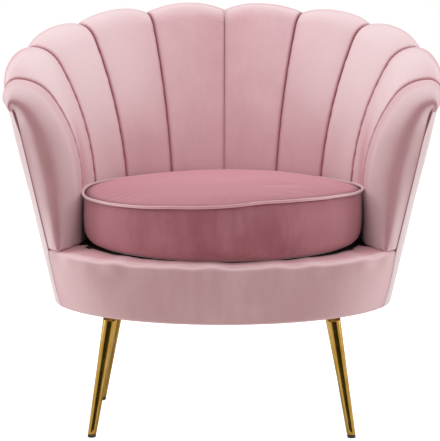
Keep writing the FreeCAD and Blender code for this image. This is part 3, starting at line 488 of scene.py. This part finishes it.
def armFront(name, side):
    # Sections fan from the arm seam to the side seam: each runs from the inner seam round the
    # bullnose to the outer seam. Rows climb the seam, columns cross the pad.
    travel = np.concatenate([
        np.linspace(0, 1, 24), np.linspace(1, 2, 30)[1:], np.linspace(2, 3, 30)[1:]])
    x, z = sectionPoint(armAngle, 0.0, travel)
    bottom = blend(arm["lowest"], barrel["seatLine"], np.linspace(0, 1, 22)[:-1] ** 1.6)
    footRadius, footHeight = [float(v) for v in rollFoot(armAngle)]
    innerX = np.concatenate([np.full(len(bottom), x[0]), x, [footRadius]])
    innerZ = np.concatenate([bottom, z, [footHeight]])
    b = barrel["leanSwitch"] * np.degrees(np.arctan2(x[-1] - x[0], z.max() - z[0])) / barrel["faceSlope"]
    lean = np.interp(travel, [0, 1, 2, 3], [0, b, 90, barrel["rollEnd"]])
    climb = blend(barrel["seatLine"], footHeight, 1 - np.exp(-lean / arm["fanDelay"]))
    outerZ = np.concatenate([bottom, climb, [footHeight]])
    outerX = np.sqrt(coneRadius(outerZ) ** 2 - arm["seamSetback"] ** 2)
    innerY = innerX * math.cos(math.radians(armAngle)) - channel["gap"]
    width = np.hypot(outerX - innerX, outerZ - innerZ)
    rise = np.linspace(0, 1, len(innerX))
    nose = arm["bullnose"] * (1 - 0.45 * rise ** 2)
    lowDown = np.clip(1 - (innerZ - arm["lowest"]) / arm["tuckHeight"], 0, 1)
    tuck = (0.12 + 0.16 * lowDown ** 1.5) * width
    u = across(40, arm["seamWidth"], 130.0)[None, :]
    column = [a[:, None] for a in (innerX, innerY, innerZ, outerX, outerZ, width, nose, tuck)]
    innerX, innerY, innerZ, outerX, outerZ, width, nose, tuck = column
    setback = -arm["seamSetback"]
    hollow = setback + arm["hollow"]
    zero = np.zeros_like(width)
    alongKnots = [zero, 0.2 * tuck, tuck, blend(tuck, width, 0.5), width]
    yKnots = [innerY, blend(innerY, hollow, 0.5), hollow + zero, setback - nose, setback + zero]
    along = through(alongKnots, u)
    y = through(yKnots, u)
    share = along / width
    shown = np.stack([blend(innerX, outerX, share), y, blend(innerZ, outerZ, share)], -1)
    normal = frontNormals(shown, 20, 30)
    step = np.linalg.norm(np.diff(shown, axis=1), axis=2)
    length = np.concatenate([np.zeros((len(shown), 1)), np.cumsum(step, axis=1)], axis=1)
    distance = np.minimum(length, length[:, -1:] - length)
    fall = roundOver(distance, arm["seamWidth"], arm["seamDepth"])
    above = np.broadcast_to(innerZ - arm["lowest"], distance.shape)
    fall = fall + roundOver(above, arm["footEdge"], 3.0)
    pleat = arm["pleats"] * np.sin(2 * np.pi * along / 17.0 + 0.7) * np.exp(-above / 16.0)
    pleat = pleat * fade(distance, 4, 25)
    drape = ripple(innerZ + outerZ, along, [(0.5, 330.0, 160.0, 0.8 + side), (0.35, -210.0, 95.0, 2.1)])
    drape = drape * fade(distance, 4, 35)
    shown = shown + normal * (pleat + drape - fall)[..., None]
    seam = np.exp(-(distance / arm["line"]) ** 2)
    # the hidden side, round the arm post
    outerSkin, innerSkin = width - arm["skin"], np.minimum(arm["depth"], 0.45 * width)
    postFront = zero - arm["postFront"]
    inside = [(outerSkin, setback + zero), (outerSkin, postFront),
              (innerSkin, postFront), (innerSkin, innerY)]
    hidden = [np.stack([blend(innerX, outerX, along / width), y, blend(innerZ, outerZ, along / width)], -1)
              for along, y in inside]
    points = np.concatenate([shown] + hidden, axis=1)
    allSeam = np.zeros(points.shape[:2])
    allSeam[:, :shown.shape[1]] = seam
    return putLoop(name, points.swapaxes(0, 1), armVelvet, allSeam.T, side=side)


for side, word in ((1, "Right"), (-1, "Left")):
    wear(armFront(f"armFront{word}", side), "chair", [f"arm_front_pad_{word.lower()}"])
print("arm fronts made")


# width and tall are the cover's rough size
cover = dict(low=217.0, thickness=6.0, split=66.0, bulge=1.0, edge=4.0, edgeDepth=3.0, fillIn=40.0,
             proud=2.0, width=260.0, tall=400.0, line=2.0)


def seamTurn(height):
    # angle round the barrel at which the side seam's plane cuts the flared side
    return 90 + np.degrees(np.arcsin(arm["seamSetback"] / coneRadius(height)))


def outsideCover(name, first, last, node, side=1):
    # Rows climb the flared side to the roll's foot; columns run from one seam to the other. Without
    # a last angle the cover ends at the side seam and is drawn in there.
    u = across(60, cover["edge"], cover["width"])[None, :]
    v = across(40, cover["edge"], cover["tall"])[:, None]
    rough = blend(first, seamTurn(cover["tall"]) if last is None else last, u)
    footHeight = rollFoot(np.clip(rough, -armAngle, armAngle))[1]
    height = blend(cover["low"], footHeight - 0.3, v)
    phi = blend(first, seamTurn(height) - 0.05 if last is None else last, u)
    arcLength = np.radians(np.abs(phi - phi[:, :1])) * coneRadius(height)
    arcLeft = np.radians(np.abs(phi[:, -1:] - phi)) * coneRadius(height)
    padding = shellRadius(height) - coneRadius(height)
    drawnIn = np.minimum(arcLength, arcLeft)
    if last is None:
        drawnIn = arcLeft
        padding = padding * blend(fade(arcLeft, 0, cover["fillIn"]), 1.0, fade(v, 0.85, 1.0))
    padding = padding + cover["proud"] * fade(drawnIn, 0, cover["fillIn"])
    radius = coneRadius(height) + padding + cover["bulge"] * np.sin(np.pi * v) * np.sin(np.pi * u)
    shown = ringPoints(phi, radius, height)
    distance = np.minimum(np.minimum(arcLength, arcLeft), v * (footHeight - cover["low"]))
    fall = roundOver(distance, cover["edge"], cover["edgeDepth"])
    drape = ripple(phi * 6.0, height, [(0.5, 310.0, 500.0, 0.4), (0.4, -170.0, 300.0, 2.0)])
    drape = drape * fade(distance, 5, 60)
    shown = shown + ringPoints(phi, 1.0, 0.0) * (drape - fall)[..., None]
    seam = np.exp(-(distance / cover["line"]) ** 2) * (v > 0.02)
    inner = ringPoints(phi, coneRadius(height) - cover["thickness"], height)[::-1]
    points = np.concatenate([shown, inner])
    allSeam = np.concatenate([seam, np.zeros(inner.shape[:2])])
    wear(putLoop(name, points, outsideVelvet, allSeam, side=side), "chair", [node])


outsideCover("outsideBack", -cover["split"], cover["split"], "outside_back_cover")
outsideCover("outsideArmRight", cover["split"], None, "outside_arm_cover_right")
outsideCover("outsideArmLeft", cover["split"], None, "outside_arm_cover_left", side=-1)
print("outside covers made")


border = dict(low=216.8, high=325.0, frontRadius=300.0, frontFlare=0.06, bulge=3.0,
              roll=12.0, seamRoll=6.0, rollGrows=55.0, deckEdge=254.5, ringTop=312.3, innerRadius=290.0,
              underArms=9.0, lineDrop=4.5, lineWidth=3.2, lineStrength=1.0, seamLine=6.0,
              width=480.0, perDegree=5.3, faceRows=30, rollRows=17, flatRows=9)
# a wave this long doesn't change that way
endless = 1e9


def frontBorder():
    # Columns go round the front between the side seams; rows go up the face, over the rolled
    # edge and in along the deck. share is 1 at the front centre and 0 at the seams.
    seamAngle = seamTurn(border["high"])
    u = across(110, 6.0, border["width"])[None, :]
    phi = blend(seamAngle + 0.05, 360 - seamAngle - 0.05, u)
    share = np.abs(np.cos(np.radians(90 * (180 - phi) / (180 - seamAngle))))
    flare = blend(barrel["flare"], border["frontFlare"], share)
    lowRadius = blend(barrel["baseRadius"], border["frontRadius"], share)
    v = np.linspace(0, 1, border["faceRows"])[:, None]
    sweep = np.minimum(u, 1 - u) * np.radians(360 - 2 * seamAngle)
    fromSeam = sweep * border["frontRadius"]
    roll = blend(border["seamRoll"], border["roll"], fade(fromSeam, 4, border["rollGrows"]))
    straight = border["high"] - roll - border["low"]
    radius = lowRadius + flare * straight * v + border["bulge"] * 4 * v * (1 - v)
    height = border["low"] + straight * v + 0 * phi
    turn = np.radians(np.linspace(0, 90, border["rollRows"] + 1)[1:, None])
    shoulder = lowRadius + flare * straight
    rollRadius = shoulder - roll * (1 - np.cos(turn))
    rollHeight = border["high"] - roll * (1 - np.sin(turn)) + 0 * phi
    flat = np.linspace(0, 1, border["flatRows"] + 1)[1:, None]
    deckRadius = blend(shoulder - roll, border["deckEdge"], flat)
    radius = np.concatenate([radius, rollRadius, deckRadius])
    height = np.concatenate([height, rollHeight, border["high"] + 0 * deckRadius])
    # on the deck the cloth runs on under the arm fronts, further back with each row
    row = np.arange(len(radius))[:, None]
    lastRoll = border["faceRows"] + border["rollRows"] - 1
    inwards = np.clip((row - lastRoll) / border["flatRows"], 0, 1)
    spread = phi + border["underArms"] * inwards * (2 * u - 1)
    shown = ringPoints(spread, radius, height)
    normal = frontNormals(shown, 10, 60)
    arcLength = sweep * radius
    below = np.maximum(height - border["low"], 0)
    distance = np.minimum(arcLength, np.where(row < border["faceRows"], below, 99.0))
    fall = roundOver(distance, 3.0, 2.5)
    # the rolled edge waves, as cloth pulled over wadding does
    edge = np.exp(-((height - 312.0) / 14.0) ** 2) * (row > 20)
    wave = ripple(phi * border["perDegree"], 0 * phi, [
        (1.1, 95.0, endless, 0.5), (0.8, 61.0, endless, 2.1), (0.7, 151.0, endless, 4.0)])
    drape = ripple(phi * border["perDegree"], height, [
        (0.5, 210.0, 260.0, 1.0), (0.35, -120.0, 150.0, 2.6)])
    shown = shown + normal * (wave * edge + drape * fade(distance, 4, 40) - fall)[..., None]
    seam = np.exp(-(arcLength / border["seamLine"]) ** 2) * (1 - inwards)
    # a painted highlight along the rolled edge: a bright line that follows the waves
    lineHeight = border["high"] - border["lineDrop"] + 0.8 * wave
    line = np.exp(-((height - lineHeight) / border["lineWidth"]) ** 2)
    line = line * border["lineStrength"] * fade(fromSeam, 10, 60)
    # the hidden side: down to the ring, out along it and down behind the face
    onRing = border["ringTop"] + 0.3
    hidden = ringPoints(
        np.concatenate([spread[-1:], phi, phi]),
        np.array([[border["deckEdge"]], [border["innerRadius"]], [border["innerRadius"]]]),
        np.array([[onRing], [onRing], [border["low"]]]))
    points = np.concatenate([shown, hidden])
    plain = np.zeros(hidden.shape[:2])
    seam, line = np.concatenate([seam, plain]), np.concatenate([line, plain])
    return putLoop("frontBorder", points, borderVelvet, seam, line)


wear(frontBorder(), "chair", ["front_border"])


deck = dict(radius=254.2, wideRadius=261.6, low=313.9, high=324.8, rings=20, sides=192)


def deckTop():
    # A round flat pad, wider behind the side seams, where it reaches the channels: rings of points
    # on top, then underneath.
    turn = np.linspace(0, 2 * np.pi, deck["sides"] + 1)[:-1][None, :]
    share = np.linspace(0.001, 1, deck["rings"])[:, None]
    behind = deck["radius"] * np.sin(turn) > 4 - arm["seamSetback"]
    reach = share * np.where(behind, deck["wideRadius"], deck["radius"])
    x, y = reach * np.cos(turn), reach * np.sin(turn)
    upper = np.stack([x, y, deck["high"] + 0 * x], -1)
    lower = np.stack([x, y, deck["low"] + 0 * x], -1)[::-1]
    return putRings("deckTop", np.concatenate([upper, lower]), deckCloth)


wear(deckTop(), "chair", ["deck_pad"])

dust = dict(radius=298.0, middleY=4.0, height=218.4, sag=1.2, rings=26, sides=128)


def dustCloth():
    # Spunbond cloth stapled under the base: a flat disc that sags a little between its staples.
    share = np.linspace(0.002, 1, dust["rings"])[:, None]
    turn = np.linspace(0, 2 * np.pi, dust["sides"] + 1)[:-1][None, :]
    x = dust["radius"] * share * np.cos(turn)
    y = dust["middleY"] + dust["radius"] * share * np.sin(turn)
    puckers = ripple(x, y, [(0.25, 90.0, 140.0, 0.3), (0.2, -60.0, 110.0, 1.4)]) * (1 - share)
    z = dust["height"] - dust["sag"] * (1 - share ** 2) + puckers
    faces = gridFaces(dust["rings"], dust["sides"], loopColumns=True) + [list(range(dust["sides"]))]
    piece = putMesh("dustCloth", np.stack([x, y, z], -1), faces, blackCloth)
    wear(piece, "chair", ["dust_cover"])


dustCloth()
print("base made")


# ---- legs


# foot and top are x and y of the cone's axis at the floor and at the plate; the profile of the
# glide is (level, share of the cone's radius there)
leg = dict(
    glide=6.0, plateBottom=215.0, overrun=12.0, tip=7.2, top=13.0, sides=64, rows=26,
    front=((235.5, -229.0), (202.0, -188.0)), back=((234.0, 134.0), (196.5, 114.0)),
    profile=((0.0, 0.1), (0.0, 0.72), (0.25, 0.84), (0.9, 0.95), (2.0, 1.0), (4.6, 1.0), (5.6, 0.98),
             (5.95, 0.9), (5.95, 0.1)),
)


def legCone(side, place):
    # A function that gives the cone's outline, swollen by a factor, at a level: along each line of
    # the cone the height is linear, so the level cut is where the line reaches it.
    (footX, footY), (topX, topY) = place
    foot, top = np.array([side * footX, footY, 0.0]), np.array([side * topX, topY, leg["plateBottom"]])
    length = np.linalg.norm(top - foot)
    axis = (top - foot) / length
    sideways = np.cross(axis, [0.0, 1.0, 0.0])
    sideways /= np.linalg.norm(sideways)
    other = np.cross(axis, sideways)
    turn = np.linspace(0, 2 * np.pi, leg["sides"] + 1)[:-1][:, None]
    spoke = np.cos(turn) * sideways + np.sin(turn) * other
    start = foot - axis * leg["overrun"]
    growth = (leg["top"] - leg["tip"]) / (length + 2 * leg["overrun"])

    def at(level, swell=1.0):
        tip, grow = leg["tip"] * swell, growth * swell
        travel = (level - start[2] - tip * spoke[:, 2]) / (axis[2] + grow * spoke[:, 2])
        return start + travel[:, None] * axis + (tip + grow * travel)[:, None] * spoke
    return at


def legTube(word, side, place, node):
    # drawn steel cone, its end rolled over the glide, and a nylon foot with a rounded edge
    at = legCone(side, place)
    low, high, lip = leg["glide"], leg["plateBottom"], leg["glide"] + 1.1
    rings = [at(low, 0.15), at(low, 0.9), at(low + 0.3, 0.97), at(lip)]
    rings += [blend(at(lip), at(high), share) for share in np.linspace(0, 1, leg["rows"])[1:]]
    tube = putRings(f"legTube{word}", rings + [at(high, 0.15)], goldPlate)
    wear(tube, "chair", [f"leg_tube_{node}"])
    glide = putRings(f"glide{word}", [at(level, swell) for level, swell in leg["profile"]], glidePlastic)
    wear(glide, "chair", [f"leg_glide_{node}"])


for end in ("Front", "Back"):
    for word, side in (("Left", -1), ("Right", 1)):
        legTube(end + word, side, leg[end.lower()], f"{end}_{word}".lower())
print("legs made")


# ---- the loose cushion


cushion = dict(
    rear=258.5, front=289.0, nose=230.0, bottom=325.3, edge=99.0, crown=24.0, spread=1.022, middleY=-15.0,
    piping=2.7, pipingInset=3.4, lowPipingInset=31.0, seamInset=6.5, smaller=1.5, sides=180,
    voxel=0.0065, pressure=3.0, shrink=-0.003, mass=0.3, cap=0.008, frames=20,
)
# the boxing from bottom to top as (share of its height, inset), and the shares of the outline that
# the rings of the bottom and the crown have
boxing = ((0.02, 27.0), (0.03, 20.0), (0.07, 13.5), (0.13, 9.0), (0.22, 6.0), (0.35, 4.2), (0.55, 3.6),
          (0.75, 4.0), (0.9, 5.0), (1.0, cushion["seamInset"]))
bottomShares = (0.04, 0.2, 0.4, 0.6, 0.8, 0.95)
crownShares = (0.97, 0.93, 0.87, 0.78, 0.66, 0.5, 0.33, 0.16, 0.04)
# lift of the front's top seam from the left end to the right end, evenly spaced
frontLift = (-7.0, -4.0, 0.0, 4.0, 10.0, 9.5, 5.0)


def planPoints(inset, samples):
    # The cushion's outline: a half circle behind and a wide nose in front, joined by two flank arcs
    # that meet both smoothly. Each arc is drawn in by the inset along its radius.
    rear, nose = cushion["rear"], cushion["nose"]
    noseReach = cushion["front"] - nose
    flank = (rear ** 2 + noseReach ** 2 - nose ** 2) / (2 * (rear - nose))
    turn = math.degrees(math.atan2(noseReach, flank - rear))
    arcs = [(0, 0, rear, 0, 180), (flank - rear, 0, flank, 180, 180 + turn),
            (0, -noseReach, nose, 180 + turn, 360 - turn), (rear - flank, 0, flank, 360 - turn, 360)]
    angles = np.linspace(0, 360, samples + 1)[:-1]
    x, y = np.zeros(samples), np.zeros(samples)
    for cx, cy, radius, first, last in arcs:
        here = (angles >= first) & (angles < last)
        x = np.where(here, cx + (radius - inset) * np.cos(np.radians(angles)), x)
        y = np.where(here, cy + (radius - inset) * np.sin(np.radians(angles)), y)
    return x * cushion["spread"], y, angles


def frontWave(x, y):
    # the top seam sags on the left of the front and lifts on the right, as a used cushion does
    place = np.clip((x + cushion["rear"]) / (2 * cushion["rear"]), 0, 1)
    return through([np.float64(lift) for lift in frontLift], place) * fade(-y, -130, 130)


def seamHeight(place):
    # the level of the sewn top edge
    return cushion["bottom"] + cushion["edge"] + frontWave(place[:, 0], place[:, 1])


def cushionStart():
    # Rings from the middle of the bottom, out, up the boxing and in over the crown, each as
    # (share of the outline, inset, height).
    low, high = cushion["bottom"], cushion["bottom"] + cushion["edge"]
    rings = [(share, boxing[0][1], low + 3.0) for share in bottomShares]
    rings += [(1.0, inset + cushion["smaller"], blend(low + 0.6, high, rise)) for rise, inset in boxing]
    topInset = cushion["seamInset"] + cushion["smaller"]
    rings += [(share, topInset, high + cushion["crown"] * (1 - share ** 2.2)) for share in crownShares]
    layers = []
    for share, inset, height in rings:
        x, y, _ = planPoints(inset, cushion["sides"])
        x, y = x * share, blend(cushion["middleY"], y, share)
        lift = frontWave(x, y) * fade(height, low + 10, high)
        layers.append(np.stack([x, y, height + lift], -1))
    return putRings("seatCushion", layers, cushionVelvet)


def readPoints(mesh):
    # every point in metres, as rows
    points = np.zeros(len(mesh.vertices) * 3, np.float32)
    mesh.vertices.foreach_get("co", points)
    return points.reshape(-1, 3)


def roundBarrel(points):
    # metres in the chair's frame to millimetres round the barrel's centre line
    return points * 1000.0 - np.array([0, barrel["centreY"], 0])


def asShown(piece):
    # a new mesh of the piece as its modifiers make it
    return bpy.data.meshes.new_from_object(piece.evaluated_get(bpy.context.evaluated_depsgraph_get()))


def settle(piece):
    # A closed bag under a little pressure: it swells between its sewn edges, and no point moves
    # further than the cap. The sewn edge and the flat bottom hold their places.
    remesh = piece.modifiers.new("even", "REMESH")
    remesh.mode, remesh.voxel_size = "VOXEL", cushion["voxel"]
    remesh.use_smooth_shade = True
    even = asShown(piece)
    piece.modifiers.clear()
    piece.data = even
    rest = readPoints(even)
    place = roundBarrel(rest)
    sewn = rimShare(place) * np.exp(-((place[:, 2] - seamHeight(place)) / 5.0) ** 2)
    flat = 1 - fade(place[:, 2], cushion["bottom"] + 1, cushion["bottom"] + 14)
    held = np.clip(np.maximum(sewn, flat), 0, 1)
    group = piece.vertex_groups.new(name="held")
    for level in range(1, 11):
        group.add(np.nonzero(np.round(held * 10) == level)[0].tolist(), level / 10, "REPLACE")
    cloth = piece.modifiers.new("filling", "CLOTH")
    cloth.settings.use_pressure = True
    cloth.settings.uniform_pressure_force = cushion["pressure"]
    cloth.settings.vertex_group_mass = "held"
    cloth.settings.shrink_min = cushion["shrink"]
    cloth.settings.mass = cushion["mass"]
    cloth.settings.quality = 5
    cloth.settings.effector_weights.gravity = 0
    cloth.collision_settings.use_collision = False
    cloth.point_cache.frame_start, cloth.point_cache.frame_end = 1, cushion["frames"]
    for step in range(1, cushion["frames"] + 1):
        bpy.context.scene.frame_set(step)
    shift = readPoints(asShown(piece)) - rest
    length = np.linalg.norm(shift, axis=1, keepdims=True)
    shift = shift * np.minimum(1, cushion["cap"] / np.maximum(length, 1e-9))
    piece.modifiers.clear()
    bpy.context.scene.frame_set(1)
    even.vertices.foreach_set("co", (rest + shift).astype(np.float32).ravel())
    even.update()
    print(f"cushion filled: {len(rest)} points, furthest moved {length.max() * 1000:.1f} mm")


def rimShare(place):
    # 1 at the outline of the cushion, 0 from 25 mm inside it
    x, y, angles = planPoints(cushion["seamInset"], 720)
    near = np.degrees(np.arctan2(place[:, 1] + 30, place[:, 0])) % 360
    outline = np.degrees(np.arctan2(y + 30, x)) % 360
    order = np.argsort(outline)
    reach = np.interp(near, outline[order], np.hypot(x, y + 30)[order], period=360)
    return fade(np.hypot(place[:, 0], place[:, 1] + 30), reach - 25, reach - 8)


def cushionBody():
    # the filled cushion with its painted layers, one level finer
    piece = cushionStart()
    settle(piece)
    mesh = piece.data
    place = roundBarrel(readPoints(mesh))
    paint(mesh, "seam", rimShare(place) * np.exp(-((place[:, 2] - seamHeight(place) + 1.5) / 3.5) ** 2))
    # painted highlight below the piping on the right of the front
    band = np.exp(-((place[:, 2] - 402) / 22.0) ** 2)
    paint(mesh, "paintedHighlight", 0.45 * fade(place[:, 0], 90, 230) * band * fade(-place[:, 1], 40, 160))
    mesh.materials.clear()
    mesh.materials.append(cushionVelvet)
    mesh.polygons.foreach_set("use_smooth", np.ones(len(mesh.polygons), bool))
    finer = piece.modifiers.new("finer", "SUBSURF")
    finer.levels = finer.render_levels = 1
    return piece


def pipingTube(name, height, inset, node, lifted):
    # a closed tube along the outline: circles square to its path
    x, y, angles = planPoints(inset, 360)
    wobble = ripple(angles * 4.7, 0 * angles, [(0.3, 188.0, endless, 0.4), (0.2, 97.0, endless, 1.9)])
    lift = frontWave(x, y) + wobble if lifted else 0 * x
    centre = np.stack([x, y, height + lift], -1)
    along = np.roll(centre, -1, 0) - np.roll(centre, 1, 0)
    along /= np.linalg.norm(along, axis=1, keepdims=True)
    out = np.cross(along, [0.0, 0.0, 1.0])
    out /= np.linalg.norm(out, axis=1, keepdims=True)
    rise = np.cross(out, along)
    turn = np.linspace(0, 2 * np.pi, 13)[:-1][:, None, None]
    points = centre + cushion["piping"] * (np.cos(turn) * out + np.sin(turn) * rise)
    rows, columns = points.shape[:2]
    piece = putMesh(name, points, gridFaces(rows, columns, True, True), pipingVelvet)
    wear(piece, "cushion", [node])


cushionNodes = ["cushion_core", "cushion_boxing", "cushion_top_panel", "cushion_bottom_panel"]
wear(cushionBody(), "cushion", cushionNodes)
pipingTube("cushionPipingTop", cushion["bottom"] + cushion["edge"], cushion["pipingInset"],
           "cushion_piping_top", lifted=True)
pipingTube("cushionPipingBottom", cushion["bottom"] + cushion["piping"] + 0.3, cushion["lowPipingInset"],
           "cushion_piping_bottom", lifted=False)
print("cushion made")


# ---- studio


# light strengths; behindFrom and behindTo say where the dark side behind the camera ends, as the
# y part of a direction; a lamp is place, target, size in metres and watts
studio = dict(
    floorHalf=6.0, floorGlow=0.8, darkBehind=0.04, fillBehind=1.45, behindFrom=-0.8, behindTo=-0.64,
    horizon=0.74, zenith=0.6,
    topLamp=((-0.2, 0.1, 2.7), (0, 0, 0.4), (2.4, 1.6), 15),
    leftLamp=((-2.3, 0.5, 1.3), (0, 0, 0.5), (1.6, 1.8), 16),
    rightLamp=((2.3, 0.5, 1.3), (0, 0, 0.5), (1.6, 1.8), 13),
)


def studioFloor():
    # white paper that glows only for the camera, so it is white where it is seen and keeps the
    # chair's shadow
    line = np.linspace(-studio["floorHalf"], studio["floorHalf"], 9)
    gx, gy = np.meshgrid(line, line, indexing="ij")
    mesh = bpy.data.meshes.new("studioFloor")
    mesh.from_pydata(np.stack([gx, gy, 0 * gx], -1).reshape(-1, 3).tolist(), [], gridFaces(9, 9))
    material, tree, shader = newMaterial("paperFloor")
    shader.inputs["Base Color"].default_value = linear("#f2f0f0")
    shader.inputs["Roughness"].default_value = 0.9
    glow = addNode(tree, "ShaderNodeEmission", {
        "Color": linear("#ffffff"), "Strength": studio["floorGlow"]}).outputs[0]
    both = addNode(tree, "ShaderNodeAddShader", {0: shader.outputs[0], 1: glow}).outputs[0]
    rays = addNode(tree, "ShaderNodeLightPath")
    mixed = addNode(tree, "ShaderNodeMixShader", {
        0: rays.outputs["Is Camera Ray"], 1: shader.outputs[0], 2: both}).outputs[0]
    output = next(n for n in tree.nodes if n.type == "OUTPUT_MATERIAL")
    tree.links.new(mixed, output.inputs["Surface"])
    mesh.materials.append(material)
    floor = bpy.data.objects.new("studioFloor", mesh)
    bpy.context.scene.collection.objects.link(floor)


def studioWorld():
    # Soft light from all round, a little more from behind the camera. The legs mirror a dark studio
    # there. It is plain white where it is seen.
    world = bpy.data.worlds.new("studioWorld")
    bpy.context.scene.world = world
    world.use_nodes = True
    tree = world.node_tree
    output = next(n for n in tree.nodes if n.type == "OUTPUT_WORLD")
    light = next(n for n in tree.nodes if n.type == "BACKGROUND")
    looked = addNode(tree, "ShaderNodeTexCoord").outputs["Generated"]
    way = addNode(tree, "ShaderNodeSeparateXYZ", {0: looked})
    rays = addNode(tree, "ShaderNodeLightPath")
    behind = addNode(tree, "ShaderNodeMapRange", {
        "Value": rays.outputs["Is Glossy Ray"], "To Min": studio["fillBehind"],
        "To Max": studio["darkBehind"]}).outputs["Result"]
    front = addNode(tree, "ShaderNodeMapRange", {
        "Value": way.outputs["Y"], "From Min": studio["behindFrom"], "From Max": studio["behindTo"],
        "To Min": behind, "To Max": 1.0}, interpolation_type="SMOOTHSTEP").outputs["Result"]
    above = addNode(tree, "ShaderNodeMapRange", {
        "Value": way.outputs["Z"], "From Min": -0.1, "From Max": 0.9,
        "To Min": studio["horizon"], "To Max": studio["zenith"]},
        interpolation_type="SMOOTHSTEP").outputs["Result"]
    strength = addNode(tree, "ShaderNodeMath", {0: front, 1: above}, operation="MULTIPLY").outputs[0]
    light.inputs["Color"].default_value = linear("#f8f5f5")
    tree.links.new(strength, light.inputs["Strength"])
    seen = addNode(tree, "ShaderNodeBackground", {"Color": (1, 1, 1, 1), "Strength": 1.0}).outputs[0]
    shown = addNode(tree, "ShaderNodeMath", {
        0: rays.outputs["Is Camera Ray"], 1: rays.outputs["Is Transmission Ray"]},
        operation="MAXIMUM").outputs[0]
    mixed = addNode(tree, "ShaderNodeMixShader", {0: shown, 1: light.outputs[0], 2: seen}).outputs[0]
    tree.links.new(mixed, output.inputs["Surface"])


def areaLamp(name, place, target, size, watts):
    # A lamp looks down its own -Z, which is turned to the target: first by the angle off the
    # upright, then round the upright.
    data = bpy.data.lights.new(name, "AREA")
    data.shape = "RECTANGLE"
    data.size, data.size_y = size
    data.energy = watts
    lamp = bpy.data.objects.new(name, data)
    lamp.location = place
    x, y, z = np.array(place) - np.array(target)
    lamp.rotation_euler = (math.atan2(math.hypot(x, y), z), 0, math.atan2(y, x) + math.pi / 2)
    bpy.context.scene.collection.objects.link(lamp)


studioFloor()
studioWorld()
for lampName in ("topLamp", "leftLamp", "rightLamp"):
    areaLamp(lampName, *studio[lampName])

# place in metres from the barrel's centre line, pitch and turn in degrees, focal length in pixels
# of a picture that is as wide as the photo
camera = dict(distance=6.0, height=1.1642, pitch=7.58, focal=3244.7, x=-0.0052, turn=0.6,
              sensor=36.0, picture=441.0)
turn = math.radians(camera["turn"])
cameraData = bpy.data.cameras.new("photoCamera")
cameraData.sensor_width = camera["sensor"]
cameraData.lens = camera["focal"] * camera["sensor"] / camera["picture"]
cameraObject = bpy.data.objects.new("photoCamera", cameraData)
cameraX = camera["x"] * math.cos(turn) + camera["distance"] * math.sin(turn)
cameraY = camera["x"] * math.sin(turn) - camera["distance"] * math.cos(turn)
cameraObject.location = (cameraX, cameraY + barrel["centreY"] * 0.001, camera["height"])
cameraObject.rotation_euler = (math.radians(90 - camera["pitch"]), 0, turn)
bpy.context.scene.collection.objects.link(cameraObject)
bpy.context.scene.camera = cameraObject
bpy.context.scene.view_settings.view_transform = "Standard"
print("studio made")
